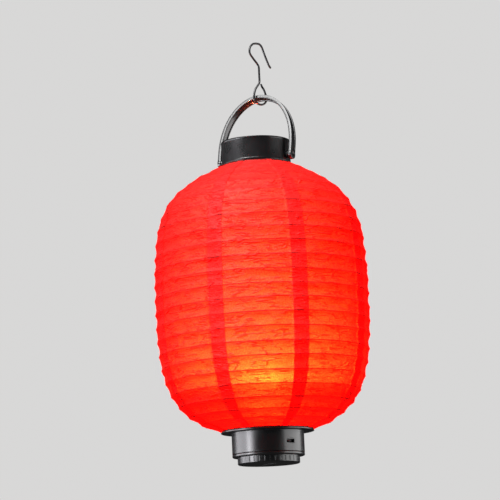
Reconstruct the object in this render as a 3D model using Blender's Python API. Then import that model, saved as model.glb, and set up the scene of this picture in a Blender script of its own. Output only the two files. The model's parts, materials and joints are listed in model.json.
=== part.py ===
"""Accordion paper lantern with a battery base, a swinging bail and a wire hook.

Frame: +Z up, origin at the centre of the foot's underside, built in metres from
sizes in millimetres. The bail's pegs lie along X. The shade is fully open, the
bail leans towards +Y and the hook hangs plumb from it. The cradle, board and
switch share a frame turned about Z, with the switch on its +X side.
"""

import math

import bmesh
import bpy
from mathutils import Vector
from mathutils.geometry import interpolate_bezier

MM = 0.001

# ---- driving dimensions: millimetres, and degrees for angles ----------------
ROUND = 32  # sides of the larger turned parts
GAP = 0.3  # clearance between neighbouring parts

# shade
SHADE_BOTTOM_R = 44.2
SHADE_BOTTOM_Z = 32.0
SHADE_R = 102.2
SHADE_EQUATOR_Z = 157.0
SHADE_TOP_R = 33.8
SHADE_TOP_Z = 286.4
LOWER_HANDLES = ((97.7, 45.9), (SHADE_R, 88.9))  # (radius, height), bottom up
UPPER_HANDLES = ((SHADE_R, 248.9), (91.4, 258.3))
CURVE_STEPS = 400
CUFF = 19.4  # length along the paper of the lowest band
BANDS = 23
PANELS = 8
SEAM_ANGLE = -1.0  # polar angle of the first seam
LAP = 8.5  # width of a glued lap, degrees
LAP_RAMP = 1.4  # degrees over which a gore steps up onto the next one
PAPER = 0.3
RIB_WIRE_R = 0.6

# collar
COLLAR_R = 33.2
COLLAR_WALL = 1.8
COLLAR_TOP_Z = 309.6
COLLAR_SHOULDER_Z = 287.0
COLLAR_SKIRT_R = 31.5
COLLAR_BOTTOM_Z = 281.4
COLLAR_IN_R = COLLAR_R - COLLAR_WALL
SKIRT_IN_R = COLLAR_SKIRT_R - COLLAR_WALL

# bail
PEG_Z = 293.0
PEG_R = 2.2
PEG_CLEAR = 0.25
PEG_CUTTER_HALF = 40.0
BAIL_HALF_SPAN = 38.4  # to the middle of the strap
BAIL_HEIGHT = 64.0
BAIL_LEG = 10.0  # straight part above each peg
BAIL_STEPS = 22
BAIL_FULLNESS = 0.94  # power of the sine; below 1 the arch has fuller shoulders
BAIL_WIDTH = 9.0
BAIL_THICK = 3.2
BAIL_RIM = 1.3
BAIL_RIM_SLOPE = 0.3
BAIL_WEB = 1.2
BAIL_LEAN = 12.5  # towards +Y
BAIL_EYE_PROUD = 0.15  # how far an eye stands off each face of the strap

# hook: heights are measured from the middle of the strap's crown
HOOK_WIRE_R = 1.0
HOOK_YAW = 24.0  # from +Y towards +X
EYE_HALF_WIDTH = 7.6
EYE_LOW = -6.2
EYE_HIGH = 13.0
EYE_NARROWING = 0.12  # share of the width lost at the top of the eye
EYE_START = 64.0
EYE_SWEEP = 308.0
EYE_STEPS = 18
BEND_R = 8.5
SADDLE_UP = 54.4  # middle of the wire over the saddle

# base
BASE_R = 34.2
BASE_WALL = 2.2
BASE_IN_R = BASE_R - BASE_WALL
BASE_BOTTOM_Z = 9.9
DECK_TOP_Z = 31.2
DECK = 1.6
DECK_LOW_Z = DECK_TOP_Z - DECK
DECK_HOLE_R = 4.0
FLANGE_R = 44.0
FLANGE = 1.2
LUG_R = 33.0
GROOVE_R = LUG_R + 0.35
BAYONET_ANGLES = (90.0, 210.0, 330.0)
PACK_TURN = -24.0  # turn about Z of the frame holding switch and cradle

# battery cover
FOOT_R = 29.4
FOOT_H = 7.0
FOOT_WALL = 1.8
COVER_RIM_TOP_Z = 9.5
PLUG_R = BASE_IN_R - 0.35
PLUG_IN_R = PLUG_R - 1.4
PLUG_TOP_Z = 13.6
PLUG_FLOOR_Z = 8.4

# cradle
CRADLE_HALF_X = 17.3
CRADLE_HALF_Y = 26.4
CRADLE_CHAMFER = 1.5
CRADLE_IN_X = CRADLE_HALF_X - 0.9
CRADLE_IN_Y = CRADLE_HALF_Y - 1.0
CRADLE_BOTTOM_Z = 13.9
CRADLE_TOP_Z = 24.0
CRADLE_ROOF = 1.2
EAR_X = 21.4  # also the place of the bosses and screws
EAR_LOW_Z = CRADLE_TOP_Z - 1.0

# cells and contacts
CELL_R = 5.2
CELL_LENGTH = 43.3
CELL_PITCH = 11.1
CELL_Z = 17.0
CELL_SHIFT = 1.1  # each cell sits this far towards its positive end
SPRING_TURNS = 2.5
SPRING_STEPS = 20
SPRING_R = 2.6  # at the cell
SPRING_FLARE = 0.9  # growth in radius towards the wall
SPRING_WIRE_R = 0.3
CONTACT_OVERHANG = 2.1  # contact plate beyond an outer cell's axis
CONTACT_IN_Y = CRADLE_IN_Y - 0.55
CONTACT_OUT_Y = CRADLE_IN_Y - 0.2
CONTACT_LOW_Z = 14.2
CONTACT_HIGH_Z = 21.6

# lamp, board, switch and leads
LAMP_LEG_X = 1.27
LAMP_LEG_HALF = 0.25
LEG_HOLE_HALF = 0.55
SWITCH_Z = 19.0
LEAD_R = 0.55


# ---- scene and materials ----------------------------------------------------
for old in list(bpy.data.objects):
    bpy.data.objects.remove(old, do_unlink=True)


def material(name, color, roughness, metallic=0.0, transmission=0.0):
    made = bpy.data.materials.new(name)
    made.use_nodes = True
    node = made.node_tree.nodes["Principled BSDF"]
    node.inputs["Base Color"].default_value = (*color, 1.0)
    node.inputs["Roughness"].default_value = roughness
    node.inputs["Metallic"].default_value = metallic
    node.inputs["Transmission Weight"].default_value = transmission
    made.diffuse_color = (*color, 1.0)
    return made


PAPER_RED = material("paper_red", color=(0.80, 0.03, 0.025), roughness=0.75)
RIB_STEEL = material("rib_wire", color=(0.42, 0.40, 0.38), roughness=0.45, metallic=1.0)
BLACK_GLOSS = material("black_gloss", color=(0.012, 0.012, 0.013), roughness=0.18)
BLACK_MATTE = material("black_matte", color=(0.02, 0.02, 0.021), roughness=0.5)
HOOK_BLACK = material("hook_black", color=(0.03, 0.03, 0.032), roughness=0.35, metallic=0.6)
CELL_SLEEVE = material("cell_sleeve", color=(0.05, 0.16, 0.10), roughness=0.35)
CONTACT_STEEL = material("contact_steel", color=(0.75, 0.75, 0.72), roughness=0.3, metallic=1.0)
BOARD_GREEN = material("board", color=(0.03, 0.20, 0.08), roughness=0.5)
LAMP_AMBER = material("lamp", color=(1.0, 0.62, 0.18), roughness=0.1, transmission=0.6)
LEAD_RED = material("lead_red", color=(0.65, 0.03, 0.03), roughness=0.45)
LEAD_BLACK = material("lead_black", color=(0.02, 0.02, 0.02), roughness=0.45)


# ---- objects ----------------------------------------------------------------
def add_object(name, data, parent, at, turn):
    """Link an object placed in millimetres and turned in degrees."""
    made = bpy.data.objects.new(name, data)
    made.location = [c * MM for c in at]
    made.rotation_euler = [math.radians(angle) for angle in turn]
    bpy.context.scene.collection.objects.link(made)
    made.parent = parent
    return made


def empty(name, parent=None, at=(0.0, 0.0, 0.0), turn=(0.0, 0.0, 0.0)):
    made = add_object(name, None, parent, at, turn)
    made.empty_display_size = 0.01
    return made


def finish(shape, name, look, parent=None, at=(0.0, 0.0, 0.0), turn=(0.0, 0.0, 0.0), sharp=40.0):
    """Make an object of a bmesh built in millimetres."""
    bmesh.ops.recalc_face_normals(shape, faces=shape.faces)
    bmesh.ops.scale(shape, vec=(MM, MM, MM), verts=shape.verts)
    mesh = bpy.data.meshes.new(name)
    shape.to_mesh(mesh)
    shape.free()
    mesh.materials.append(look)
    mesh.shade_smooth()
    mesh.set_sharp_from_angle(angle=math.radians(sharp))
    return add_object(name, mesh, parent, at, turn)


def combine(target, helper, operation):
    """Apply a hidden helper to a target with an exact Boolean kept as a modifier."""
    helper.hide_render = True
    helper.display_type = "WIRE"
    step = target.modifiers.new(helper.name, "BOOLEAN")
    step.operation = operation
    step.solver = "EXACT"
    step.object = helper


def cut(target, cutter):
    combine(target, cutter, "DIFFERENCE")


def join(target, extra):
    combine(target, extra, "UNION")


# ---- shapes -----------------------------------------------------------------
def bridge(shape, first, second):
    """Quads between two closed rings of vertices."""
    for k in range(len(first)):
        m = (k + 1) % len(first)
        shape.faces.new((first[k], first[m], second[m], second[k]))


def turned(profile, sides=ROUND, center_x=0.0):
    """A body turned about an upright axis from a closed loop of (radius, height) points.

    A point on the axis is one vertex.
    """
    shape = bmesh.new()
    rings = []
    for radius, z in profile:
        count = sides if radius > 0.0 else 1
        rings.append([])
        for k in range(count):
            angle = math.tau * k / sides
            x = center_x + radius * math.cos(angle)
            rings[-1].append(shape.verts.new((x, radius * math.sin(angle), z)))
    for ring, after in zip(rings, rings[1:] + rings[:1]):
        if len(ring) == len(after) == 1:
            continue
        if len(ring) == len(after):
            bridge(shape, ring, after)
            continue
        for k in range(sides):
            m = (k + 1) % sides
            if len(ring) == 1:
                shape.faces.new((ring[0], after[m], after[k]))
            else:
                shape.faces.new((ring[k], ring[m], after[0]))
    return shape


def box(low, high):
    """A box between two opposite corners."""
    shape = bmesh.new()
    for vert in bmesh.ops.create_cube(shape, size=1.0)["verts"]:
        vert.co = [low[i] + (high[i] - low[i]) * (vert.co[i] + 0.5) for i in range(3)]
    return shape


def swept(sections):
    """A closed body through rings of points, capped at both ends."""
    shape = bmesh.new()
    rings = [[shape.verts.new(point) for point in section] for section in sections]
    for ring, after in zip(rings, rings[1:]):
        bridge(shape, ring, after)
    shape.faces.new(rings[0][::-1])
    shape.faces.new(rings[-1])
    return shape


def prism(outline, low, high):
    """An upright prism on an outline of (x, y) points."""
    return swept([[(x, y, z) for x, y in outline] for z in (low, high)])


def tube(path, radius, sides, across=(0.31, 0.17, 0.93)):
    """A round wire along a path. Its facets start from `across` and don't twist.

    For a flat path, the plane's normal as `across` keeps the facets square to the plane.
    """
    points = [Vector(point) for point in path]
    across = Vector(across)
    sections = []
    for i, point in enumerate(points):
        ahead = points[min(i + 1, len(points) - 1)] - point
        behind = point - points[max(i - 1, 0)]
        # at each end of the path one of the two is zero and drops out
        along = (ahead.normalized() + behind.normalized()).normalized()
        across = (across - along * across.dot(along)).normalized()
        normal = across.cross(along).normalized()
        section = []
        for k in range(sides):
            angle = math.pi / sides + math.tau * k / sides
            offset = normal * math.cos(angle) + across * math.sin(angle)
            section.append(point + offset * radius)
        sections.append(section)
    return swept(sections)


def polar(radius, angle, z):
    """A point from its radius, its angle in degrees and its height."""
    angle = math.radians(angle)
    return (radius * math.cos(angle), radius * math.sin(angle), z)


def arc(center, radius, first, last, steps):
    """Points of a planar arc, angles in degrees."""
    points = []
    for i in range(steps + 1):
        x, y, _ = polar(radius, first + (last - first) * i / steps, 0.0)
        points.append((center[0] + x, center[1] + y))
    return points


def ring_segment(inner, outer, low, high, first, last, steps):
    """Part of a flat ring about Z, between two radii, heights and angles."""
    center = (0.0, 0.0)
    outline = arc(center, inner, first, last, steps) + arc(center, outer, last, first, steps)
    return prism(outline, low, high)


# ---- shade ------------------------------------------------------------------
def shade_curve():
    """The shade's meridian from bottom to top as (radius, height) points."""
    bottom = Vector((SHADE_BOTTOM_R, SHADE_BOTTOM_Z))
    equator = Vector((SHADE_R, SHADE_EQUATOR_Z))
    top = Vector((SHADE_TOP_R, SHADE_TOP_Z))
    lower = interpolate_bezier(bottom, *map(Vector, LOWER_HANDLES), equator, CURVE_STEPS)
    upper = interpolate_bezier(equator, *map(Vector, UPPER_HANDLES), top, CURVE_STEPS)
    return [Vector(point) for point in lower + upper[1:]]


def band_edges():
    """(point, outward normal) where bands meet: the cuff, then equal bands to the top."""
    curve = shade_curve()
    lengths = [0.0]
    for start, end in zip(curve, curve[1:]):
        lengths.append(lengths[-1] + (end - start).length)
    total = lengths[-1]
    targets = [0.0] + [CUFF + (total - CUFF) * i / (BANDS - 1) for i in range(BANDS)]
    edges = []
    i = 0
    for target in targets:
        while i < len(lengths) - 2 and lengths[i + 1] < target:
            i += 1
        fraction = (target - lengths[i]) / (lengths[i + 1] - lengths[i])
        fraction = min(max(fraction, 0.0), 1.0)
        along = (curve[i + 1] - curve[i]).normalized()
        edges.append((curve[i].lerp(curve[i + 1], fraction), Vector((along.y, -along.x))))
    return edges


EDGES = band_edges()
PANEL_TURN = 360.0 / PANELS
PANEL_BODY = PANEL_TURN - LAP
COLUMN_ANGLES = (0.0, LAP, LAP + PANEL_BODY / 3.0, LAP + 2.0 * PANEL_BODY / 3.0)
LAP_LIFT = PAPER + GAP
# (angle across one gore, how far its outer face stands off the meridian)
PANEL_COLUMNS = [(angle, 0.0) for angle in COLUMN_ANGLES] + [
    (PANEL_TURN - LAP_RAMP, 0.0),
    (PANEL_TURN, LAP_LIFT),
    (PANEL_TURN + LAP, LAP_LIFT),
]


def panel_face(shape, first, depth):
    """Columns of vertices of one gore, at a depth below its outer face."""
    columns = []
    for angle, lift in PANEL_COLUMNS:
        columns.append([])
        for point, normal in EDGES:
            place = point + normal * (lift - depth)
            columns[-1].append(shape.verts.new(polar(place.x, first + angle, place.y)))
    return columns


def panel(name, first):
    """One paper gore, lapping over the start of the next one."""
    shape = bmesh.new()
    outer = panel_face(shape, first, 0.0)
    inner = panel_face(shape, first, PAPER)
    rows = len(EDGES)
    for c in range(len(outer) - 1):
        out_a, out_b = outer[c], outer[c + 1]
        in_a, in_b = inner[c], inner[c + 1]
        for r in range(rows - 1):
            shape.faces.new((out_a[r], out_b[r], out_b[r + 1], out_a[r + 1]))
            shape.faces.new((in_a[r], in_a[r + 1], in_b[r + 1], in_b[r]))
        for r in (0, rows - 1):
            shape.faces.new((out_a[r], in_a[r], in_b[r], out_b[r]))
    for c in (0, -1):
        for r in range(rows - 1):
            shape.faces.new((outer[c][r], outer[c][r + 1], inner[c][r + 1], inner[c][r]))
    finish(shape, name, PAPER_RED, sharp=60.0)


def hoop(name, radius, height):
    """A wire hoop with its corners on the gores' columns and its origin at its own height."""
    shape = bmesh.new()
    rings = []
    for k in range(PANELS):
        for column in COLUMN_ANGLES:
            angle = SEAM_ANGLE + k * PANEL_TURN + column
            rings.append(
                [
                    shape.verts.new(polar(radius + out * RIB_WIRE_R, angle, up * RIB_WIRE_R))
                    for out, up in ((1, 0), (0, 1), (-1, 0), (0, -1))
                ]
            )
    for ring, after in zip(rings, rings[1:] + rings[:1]):
        bridge(shape, ring, after)
    finish(shape, name, RIB_STEEL, at=(0.0, 0.0, height), sharp=100.0)


for k in range(PANELS):
    panel(f"paper_panel_{k + 1}", SEAM_ANGLE + k * PANEL_TURN)

RIB_OFFSET = PAPER + GAP + RIB_WIRE_R
for i, (point, normal) in enumerate(EDGES[1:-1], 1):
    place = point - normal * RIB_OFFSET
    hoop(f"rib_{i:02d}", place.x, place.y)
hoop("end_hoop_bottom", SHADE_BOTTOM_R - RIB_OFFSET - 0.1, SHADE_BOTTOM_Z + 0.3)
hoop("end_hoop_top", COLLAR_SKIRT_R + GAP + RIB_WIRE_R, SHADE_TOP_Z - 0.5)

# ---- collar: profiles are (radius, height) ----------------------------------
collar_profile = [
    (COLLAR_R - 0.5, COLLAR_TOP_Z),
    (COLLAR_IN_R + 0.4, COLLAR_TOP_Z),
    (COLLAR_IN_R, COLLAR_TOP_Z - 0.4),
    (COLLAR_IN_R, COLLAR_SHOULDER_Z + 2.2),
    (SKIRT_IN_R, COLLAR_SHOULDER_Z + 0.9),
    (SKIRT_IN_R, COLLAR_BOTTOM_Z),
    (COLLAR_SKIRT_R, COLLAR_BOTTOM_Z),
    (COLLAR_SKIRT_R, COLLAR_SHOULDER_Z),
    (COLLAR_R, COLLAR_SHOULDER_Z),
    (COLLAR_R, COLLAR_TOP_Z - 0.5),
]
collar = finish(turned(collar_profile), "top_collar", BLACK_GLOSS)

# one cutter along X makes both peg holes
peg_hole_profile = [
    (0.0, -PEG_CUTTER_HALF),
    (PEG_R + PEG_CLEAR, -PEG_CUTTER_HALF),
    (PEG_R + PEG_CLEAR, PEG_CUTTER_HALF),
    (0.0, PEG_CUTTER_HALF),
]
peg_hole = finish(
    turned(peg_hole_profile, 16),
    "peg_hole_cutter",
    BLACK_GLOSS,
    at=(0.0, 0.0, PEG_Z),
    turn=(0.0, 90.0, 0.0),
)
cut(collar, peg_hole)

collar_clamp_profile = [
    (COLLAR_SKIRT_R + GAP, 284.6),
    (COLLAR_SKIRT_R + GAP, 282.6),
    (36.0, 282.6),
    (36.0, 283.4),
    (34.6, 284.6),
]
finish(turned(collar_clamp_profile), "collar_clamp_ring", BLACK_MATTE)

# ---- bail -------------------------------------------------------------------
bail_axis = empty("bail_axis", at=(0.0, 0.0, PEG_Z), turn=(-BAIL_LEAN, 0.0, 0.0))


def bail_path():
    """Strap middle line in the XZ plane, from the +X peg to the -X peg."""
    points = [(BAIL_HALF_SPAN, 0.0), (BAIL_HALF_SPAN, BAIL_LEG)]
    for i in range(1, BAIL_STEPS):
        angle = math.pi * i / BAIL_STEPS
        rise = (BAIL_HEIGHT - BAIL_LEG) * math.sin(angle) ** BAIL_FULLNESS
        points.append((BAIL_HALF_SPAN * math.cos(angle), BAIL_LEG + rise))
    points += [(-BAIL_HALF_SPAN, BAIL_LEG), (-BAIL_HALF_SPAN, 0.0)]
    return [Vector(point) for point in points]


def bail_strap():
    """The strap: a thin web between two thicker rims."""
    edge = BAIL_WIDTH / 2.0
    rim = edge - BAIL_RIM
    recess = rim - BAIL_RIM_SLOPE
    face = BAIL_THICK / 2.0
    web = BAIL_WEB / 2.0
    # (across the strap, outward); the outer side is the inner one turned half round
    inner_side = [
        (-edge, -face), (-rim, -face), (-recess, -web),
        (recess, -web), (rim, -face), (edge, -face),
    ]
    outline = inner_side + [(-across, -out) for across, out in inner_side]
    path = bail_path()
    sections = []
    for i, point in enumerate(path):
        along = (path[min(i + 1, len(path) - 1)] - path[max(i - 1, 0)]).normalized()
        sections.append(
            [(point.x + along.y * out, across, point.y - along.x * out) for across, out in outline]
        )
    return swept(sections)


bail = finish(bail_strap(), "bail_handle", BLACK_GLOSS, bail_axis)

# round eye, boss, peg and snap head as (radius, distance from the middle along X)
eye_outer = BAIL_HALF_SPAN + BAIL_THICK / 2.0 + BAIL_EYE_PROUD
eye_inner = BAIL_HALF_SPAN - BAIL_THICK / 2.0 - BAIL_EYE_PROUD
bail_eye_profile = [
    (0.0, eye_outer),
    (4.5, eye_outer),
    (4.9, eye_outer - 0.4),
    (4.9, eye_inner),
    (3.7, eye_inner),
    (3.7, COLLAR_R + GAP),
    (PEG_R, COLLAR_R + GAP),
    (PEG_R, COLLAR_IN_R - 0.45),
    (PEG_R + 0.9, COLLAR_IN_R - 0.45),
    (PEG_R, COLLAR_IN_R - 2.2),
    (0.0, COLLAR_IN_R - 2.2),
]
for name, turn_y in (("bail_eye_right", 90.0), ("bail_eye_left", -90.0)):  # +X, then -X
    eye_shape = turned(bail_eye_profile, 16)
    join(bail, finish(eye_shape, name, BLACK_GLOSS, bail_axis, turn=(0.0, turn_y, 0.0)))

# ---- hook -------------------------------------------------------------------
lean = math.radians(BAIL_LEAN)
strap_top = (0.0, BAIL_HEIGHT * math.sin(lean), PEG_Z + BAIL_HEIGHT * math.cos(lean))
hook_axis = empty("hook_axis", at=strap_top, turn=(0.0, 0.0, -HOOK_YAW))


def hook_path():
    """Wire middle line as (along the frame's +Y, up): eye, shank, bend, tip."""
    points = [(1.9, EYE_HIGH + 0.7)]
    # eye: down the +Y side, under the strap and up the -Y side
    for i in range(EYE_STEPS + 1):
        angle = math.radians(EYE_START - EYE_SWEEP * i / EYE_STEPS)
        rise = math.sin(angle)
        width = EYE_HALF_WIDTH * (1.0 - EYE_NARROWING * max(0.0, rise))
        points.append((width * math.cos(angle), (EYE_HIGH if rise > 0 else -EYE_LOW) * rise))
    # shank, then out to the -Y side
    points += [
        (-0.9, EYE_HIGH + 1.3), (0.0, EYE_HIGH + 3.8), (0.0, 30.2), (-0.7, 32.6),
        (-2.6, 35.0), (-5.6, 38.0), (-8.6, 41.2),
    ]
    points += arc((-2.2, SADDLE_UP - BEND_R), BEND_R, 196.0, 112.0, 6)
    # over the flat saddle and down to the flared tip on the +Y side
    points += [
        (-2.6, SADDLE_UP), (-1.8, SADDLE_UP), (0.2, SADDLE_UP), (1.0, SADDLE_UP),
        (3.1, SADDLE_UP - 1.0), (4.7, SADDLE_UP - 3.0),
        (5.9, 48.6), (7.4, 45.0), (9.0, 41.4), (10.9, 37.4), (12.4, 34.4), (14.2, 32.2),
    ]
    return [(0.0, y, z) for y, z in points]


hook_shape = tube(hook_path(), HOOK_WIRE_R, 6, across=(1.0, 0.0, 0.0))
finish(hook_shape, "hanging_hook", HOOK_BLACK, hook_axis)

# ---- base housing: profiles are (radius, height) ----------------------------
housing_profile = [
    (DECK_HOLE_R, DECK_TOP_Z),
    (DECK_HOLE_R, DECK_LOW_Z),
    (BASE_IN_R, DECK_LOW_Z),
    (BASE_IN_R, BASE_BOTTOM_Z),
    (BASE_R - 0.4, BASE_BOTTOM_Z),
    (BASE_R, BASE_BOTTOM_Z + 0.4),
    (BASE_R, DECK_TOP_Z - FLANGE),
    (FLANGE_R, DECK_TOP_Z - FLANGE),
    (FLANGE_R, DECK_TOP_Z),
]
housing = finish(turned(housing_profile), "base_housing", BLACK_GLOSS)
pack = empty("pack_frame", turn=(0.0, 0.0, PACK_TURN))

# bosses that the cradle screws into
boss_top = DECK_LOW_Z + 0.5
boss_profile = [(1.0, 25.0), (2.6, 25.0), (2.6, boss_top), (1.0, boss_top)]
for i, x in enumerate((EAR_X, -EAR_X), 1):
    join(housing, finish(turned(boss_profile, 12, x), f"boss_{i}", BLACK_GLOSS, pack))

# bayonet: three grooves inside the wall, each with an entry that opens downward
for k, angle in enumerate(BAYONET_ANGLES, 1):
    groove = ring_segment(
        BASE_IN_R - 1.0, GROOVE_R, low=11.6, high=14.0, first=angle - 8.0, last=angle + 40.0, steps=5
    )
    cut(housing, finish(groove, f"groove_{k}_cutter", BLACK_GLOSS))
    entry = ring_segment(
        BASE_IN_R - 1.2, GROOVE_R, low=8.0, high=13.0, first=angle + 25.0, last=angle + 40.0, steps=2
    )
    cut(housing, finish(entry, f"entry_{k}_cutter", BLACK_GLOSS))

# slot of the slide switch
slot = box((29.0, -4.6, SWITCH_Z - 1.8), (38.0, 4.6, SWITCH_Z + 1.8))
cut(housing, finish(slot, "switch_slot_cutter", BLACK_GLOSS, pack))

base_clamp_profile = [
    (36.4, DECK_TOP_Z + GAP),
    (41.7, DECK_TOP_Z + GAP),
    (41.7, DECK_TOP_Z + 2.0),
    (43.2, DECK_TOP_Z + 2.3),
    (43.0, DECK_TOP_Z + 2.9),
    (36.4, DECK_TOP_Z + 2.9),
]
finish(turned(base_clamp_profile), "base_clamp_ring", BLACK_MATTE)

# ---- battery cover, which is the foot ---------------------------------------
cover_profile = [
    (0.0, 0.0),
    (FOOT_R - 0.6, 0.0),
    (FOOT_R, 0.6),
    (FOOT_R, FOOT_H - 0.2),
    (BASE_R - 0.5, FOOT_H),
    (BASE_R, FOOT_H + 0.5),
    (BASE_R, COVER_RIM_TOP_Z - 0.3),
    (BASE_R - 0.3, COVER_RIM_TOP_Z),
    (PLUG_R, COVER_RIM_TOP_Z),
    (PLUG_R, PLUG_TOP_Z),
    (PLUG_IN_R, PLUG_TOP_Z),
    (PLUG_IN_R, PLUG_FLOOR_Z),
    (FOOT_R - FOOT_WALL, PLUG_FLOOR_Z),
    (FOOT_R - FOOT_WALL, FOOT_WALL),
    (0.0, FOOT_WALL),
]
cover = finish(turned(cover_profile), "battery_cover", BLACK_GLOSS)
for k, angle in enumerate(BAYONET_ANGLES, 1):
    lug = ring_segment(
        BASE_IN_R - 1.2, LUG_R, low=12.0, high=13.4, first=angle - 4.0, last=angle + 4.0, steps=1
    )
    join(cover, finish(lug, f"lug_{k}", BLACK_GLOSS))
coin_slot = box((-10.0, -1.3, -1.0), (10.0, 1.3, 1.1))
cut(cover, finish(coin_slot, "coin_slot_cutter", BLACK_GLOSS, pack))


# ---- cradle -----------------------------------------------------------------
def chamfered_block(half_x, half_y, low, high):
    """An upright block with its four corners cut off."""
    short_x = half_x - CRADLE_CHAMFER
    short_y = half_y - CRADLE_CHAMFER
    outline = [
        (half_x, -short_y), (half_x, short_y), (short_x, half_y), (-short_x, half_y),
        (-half_x, short_y), (-half_x, -short_y), (-short_x, -half_y), (short_x, -half_y),
    ]
    return prism(outline, low, high)


cradle_block = chamfered_block(CRADLE_HALF_X, CRADLE_HALF_Y, CRADLE_BOTTOM_Z, CRADLE_TOP_Z)
cradle = finish(cradle_block, "battery_cradle", BLACK_MATTE, pack)
hollow = chamfered_block(CRADLE_IN_X, CRADLE_IN_Y, 10.0, CRADLE_TOP_Z - CRADLE_ROOF)
cut(cradle, finish(hollow, "cradle_hollow_cutter", BLACK_MATTE, pack))

# (radius, height)
ear_profile = [(1.35, EAR_LOW_Z), (3.2, EAR_LOW_Z), (3.2, CRADLE_TOP_Z), (1.35, CRADLE_TOP_Z)]
screw_profile = [
    (0.0, 21.0), (1.6, 21.0), (2.1, 21.5), (2.1, 22.7), (0.75, 22.7), (0.75, 28.2), (0.0, 28.9),
]
for i, side in enumerate((1, -1), 1):
    x = side * EAR_X
    join(cradle, finish(turned(ear_profile, 12, x), f"cradle_ear_{i}", BLACK_MATTE, pack))
    low_x, high_x = sorted((side * (CRADLE_HALF_X - 0.5), side * (EAR_X - 2.0)))
    arm = box((low_x, -2.4, EAR_LOW_Z), (high_x, 2.4, CRADLE_TOP_Z))
    join(cradle, finish(arm, f"cradle_arm_{i}", BLACK_MATTE, pack))
    # screw from below through the ear into the boss's bore
    finish(turned(screw_profile, 10, x), f"cradle_screw_{i}", CONTACT_STEEL, pack)

# ---- cells and contacts -----------------------------------------------------
cell_half = CELL_LENGTH / 2.0
# (radius, distance along the cell towards its positive end)
cell_profile = [
    (0.0, -cell_half),
    (CELL_R - 0.4, -cell_half),
    (CELL_R, -cell_half + 0.4),
    (CELL_R, cell_half - 0.4),
    (CELL_R - 0.4, cell_half),
    (1.9, cell_half),
    (1.9, cell_half + 1.0),
    (0.0, cell_half + 1.0),
]


def spring():
    """Coil at a cell's negative end, widening towards the cradle's -Y wall."""
    start = -(cell_half - CELL_SHIFT) - 0.35
    end = -(CRADLE_IN_Y - 0.95)
    path = []
    for k in range(SPRING_STEPS + 1):
        part = k / SPRING_STEPS
        angle = math.tau * SPRING_TURNS * part
        radius = SPRING_R + SPRING_FLARE * part
        y = start + (end - start) * part
        path.append((radius * math.cos(angle), y, radius * math.sin(angle)))
    return tube(path, SPRING_WIRE_R, 4)


for i, toward in enumerate((1.0, -1.0, 1.0)):  # way the positive end points along Y
    x = (i - 1) * CELL_PITCH
    finish(
        turned(cell_profile, 16),
        f"battery_{i + 1}",
        CELL_SLEEVE,
        pack,
        at=(x, CELL_SHIFT * toward, CELL_Z),
        turn=(-90.0 * toward, 0.0, 0.0),
    )
    finish(
        spring(),
        f"contact_spring_{i + 1}",
        CONTACT_STEEL,
        pack,
        at=(x, 0.0, CELL_Z),
        turn=(0.0, 0.0, 0.0 if toward > 0 else 180.0),
    )

# flat plates against the end walls: (name, lowest x, highest x, side along Y)
contact_end = CELL_PITCH + CONTACT_OVERHANG
CONTACTS = (
    ("contact_bridge_a", -contact_end, 3.6, 1.0),
    ("contact_bridge_b", -3.6, contact_end, -1.0),
    ("terminal_positive", CELL_PITCH - 3.4, contact_end, 1.0),
    ("terminal_negative", -contact_end, -CELL_PITCH + 3.4, -1.0),
)
for name, low_x, high_x, side in CONTACTS:
    low_y, high_y = sorted((side * CONTACT_IN_Y, side * CONTACT_OUT_Y))
    plate = box((low_x, low_y, CONTACT_LOW_Z), (high_x, high_y, CONTACT_HIGH_Z))
    finish(plate, name, CONTACT_STEEL, pack)


# ---- board and lamp ---------------------------------------------------------
def square_post(x, half, low, high):
    """A square upright at a place on the X axis."""
    return box((x - half, -half, low), (x + half, half, high))


board_shape = box((-9.0, -12.0, 26.2), (9.0, 12.0, 27.2))
board = finish(board_shape, "circuit_board", BOARD_GREEN, pack)

# (radius, height)
socket_profile = [
    (3.3, DECK_TOP_Z + GAP),
    (9.0, DECK_TOP_Z + GAP),
    (9.0, DECK_TOP_Z + 1.8),
    (6.4, DECK_TOP_Z + 2.6),
    (5.2, 48.0),
    (3.3, 48.0),
]
finish(turned(socket_profile, 20), "lamp_socket", BLACK_MATTE)
lamp_profile = [
    (0.0, 47.0), (2.95, 47.0), (2.95, 48.4), (2.5, 48.4),
    (2.5, 53.4), (2.17, 54.65), (1.25, 55.57), (0.0, 55.9),
]
lamp = finish(turned(lamp_profile, 16), "led_lamp", LAMP_AMBER)

for i, x in enumerate((-LAMP_LEG_X, LAMP_LEG_X), 1):
    hole = square_post(x, LEG_HOLE_HALF, 25.0, 28.5)
    cut(board, finish(hole, f"lamp_leg_hole_{i}_cutter", BOARD_GREEN, pack))
    leg = square_post(x, LAMP_LEG_HALF, 25.4, 47.5)
    join(lamp, finish(leg, f"lamp_leg_{i}", LAMP_AMBER, pack))

# ---- switch -----------------------------------------------------------------
body = box((25.6, -5.6, SWITCH_Z - 2.8), (30.6, 5.6, SWITCH_Z + 2.8))
switch_body = finish(body, "switch_body", CONTACT_STEEL, pack)
window = box((27.4, -3.9, SWITCH_Z - 1.3), (32.0, 3.9, SWITCH_Z + 1.3))
cut(switch_body, finish(window, "switch_window_cutter", CONTACT_STEEL, pack))
knob = box((27.7, -3.4, SWITCH_Z - 1.0), (35.1, 0.2, SWITCH_Z + 1.0))
finish(knob, "switch_knob", BLACK_GLOSS, empty("switch_axis", pack))

# ---- leads: (x, y, z) from over the cradle to the board ---------------------
LEAD_PATH = (
    (CELL_PITCH - 0.6, CRADLE_IN_Y - 1.4, 25.3),
    (CELL_PITCH - 0.8, 20.5, 26.4),
    (8.6, 17.0, 28.0),
    (6.0, 13.2, 28.5),
    (5.0, 10.6, 28.2),
    (4.9, 9.2, 27.8),
)
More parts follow.
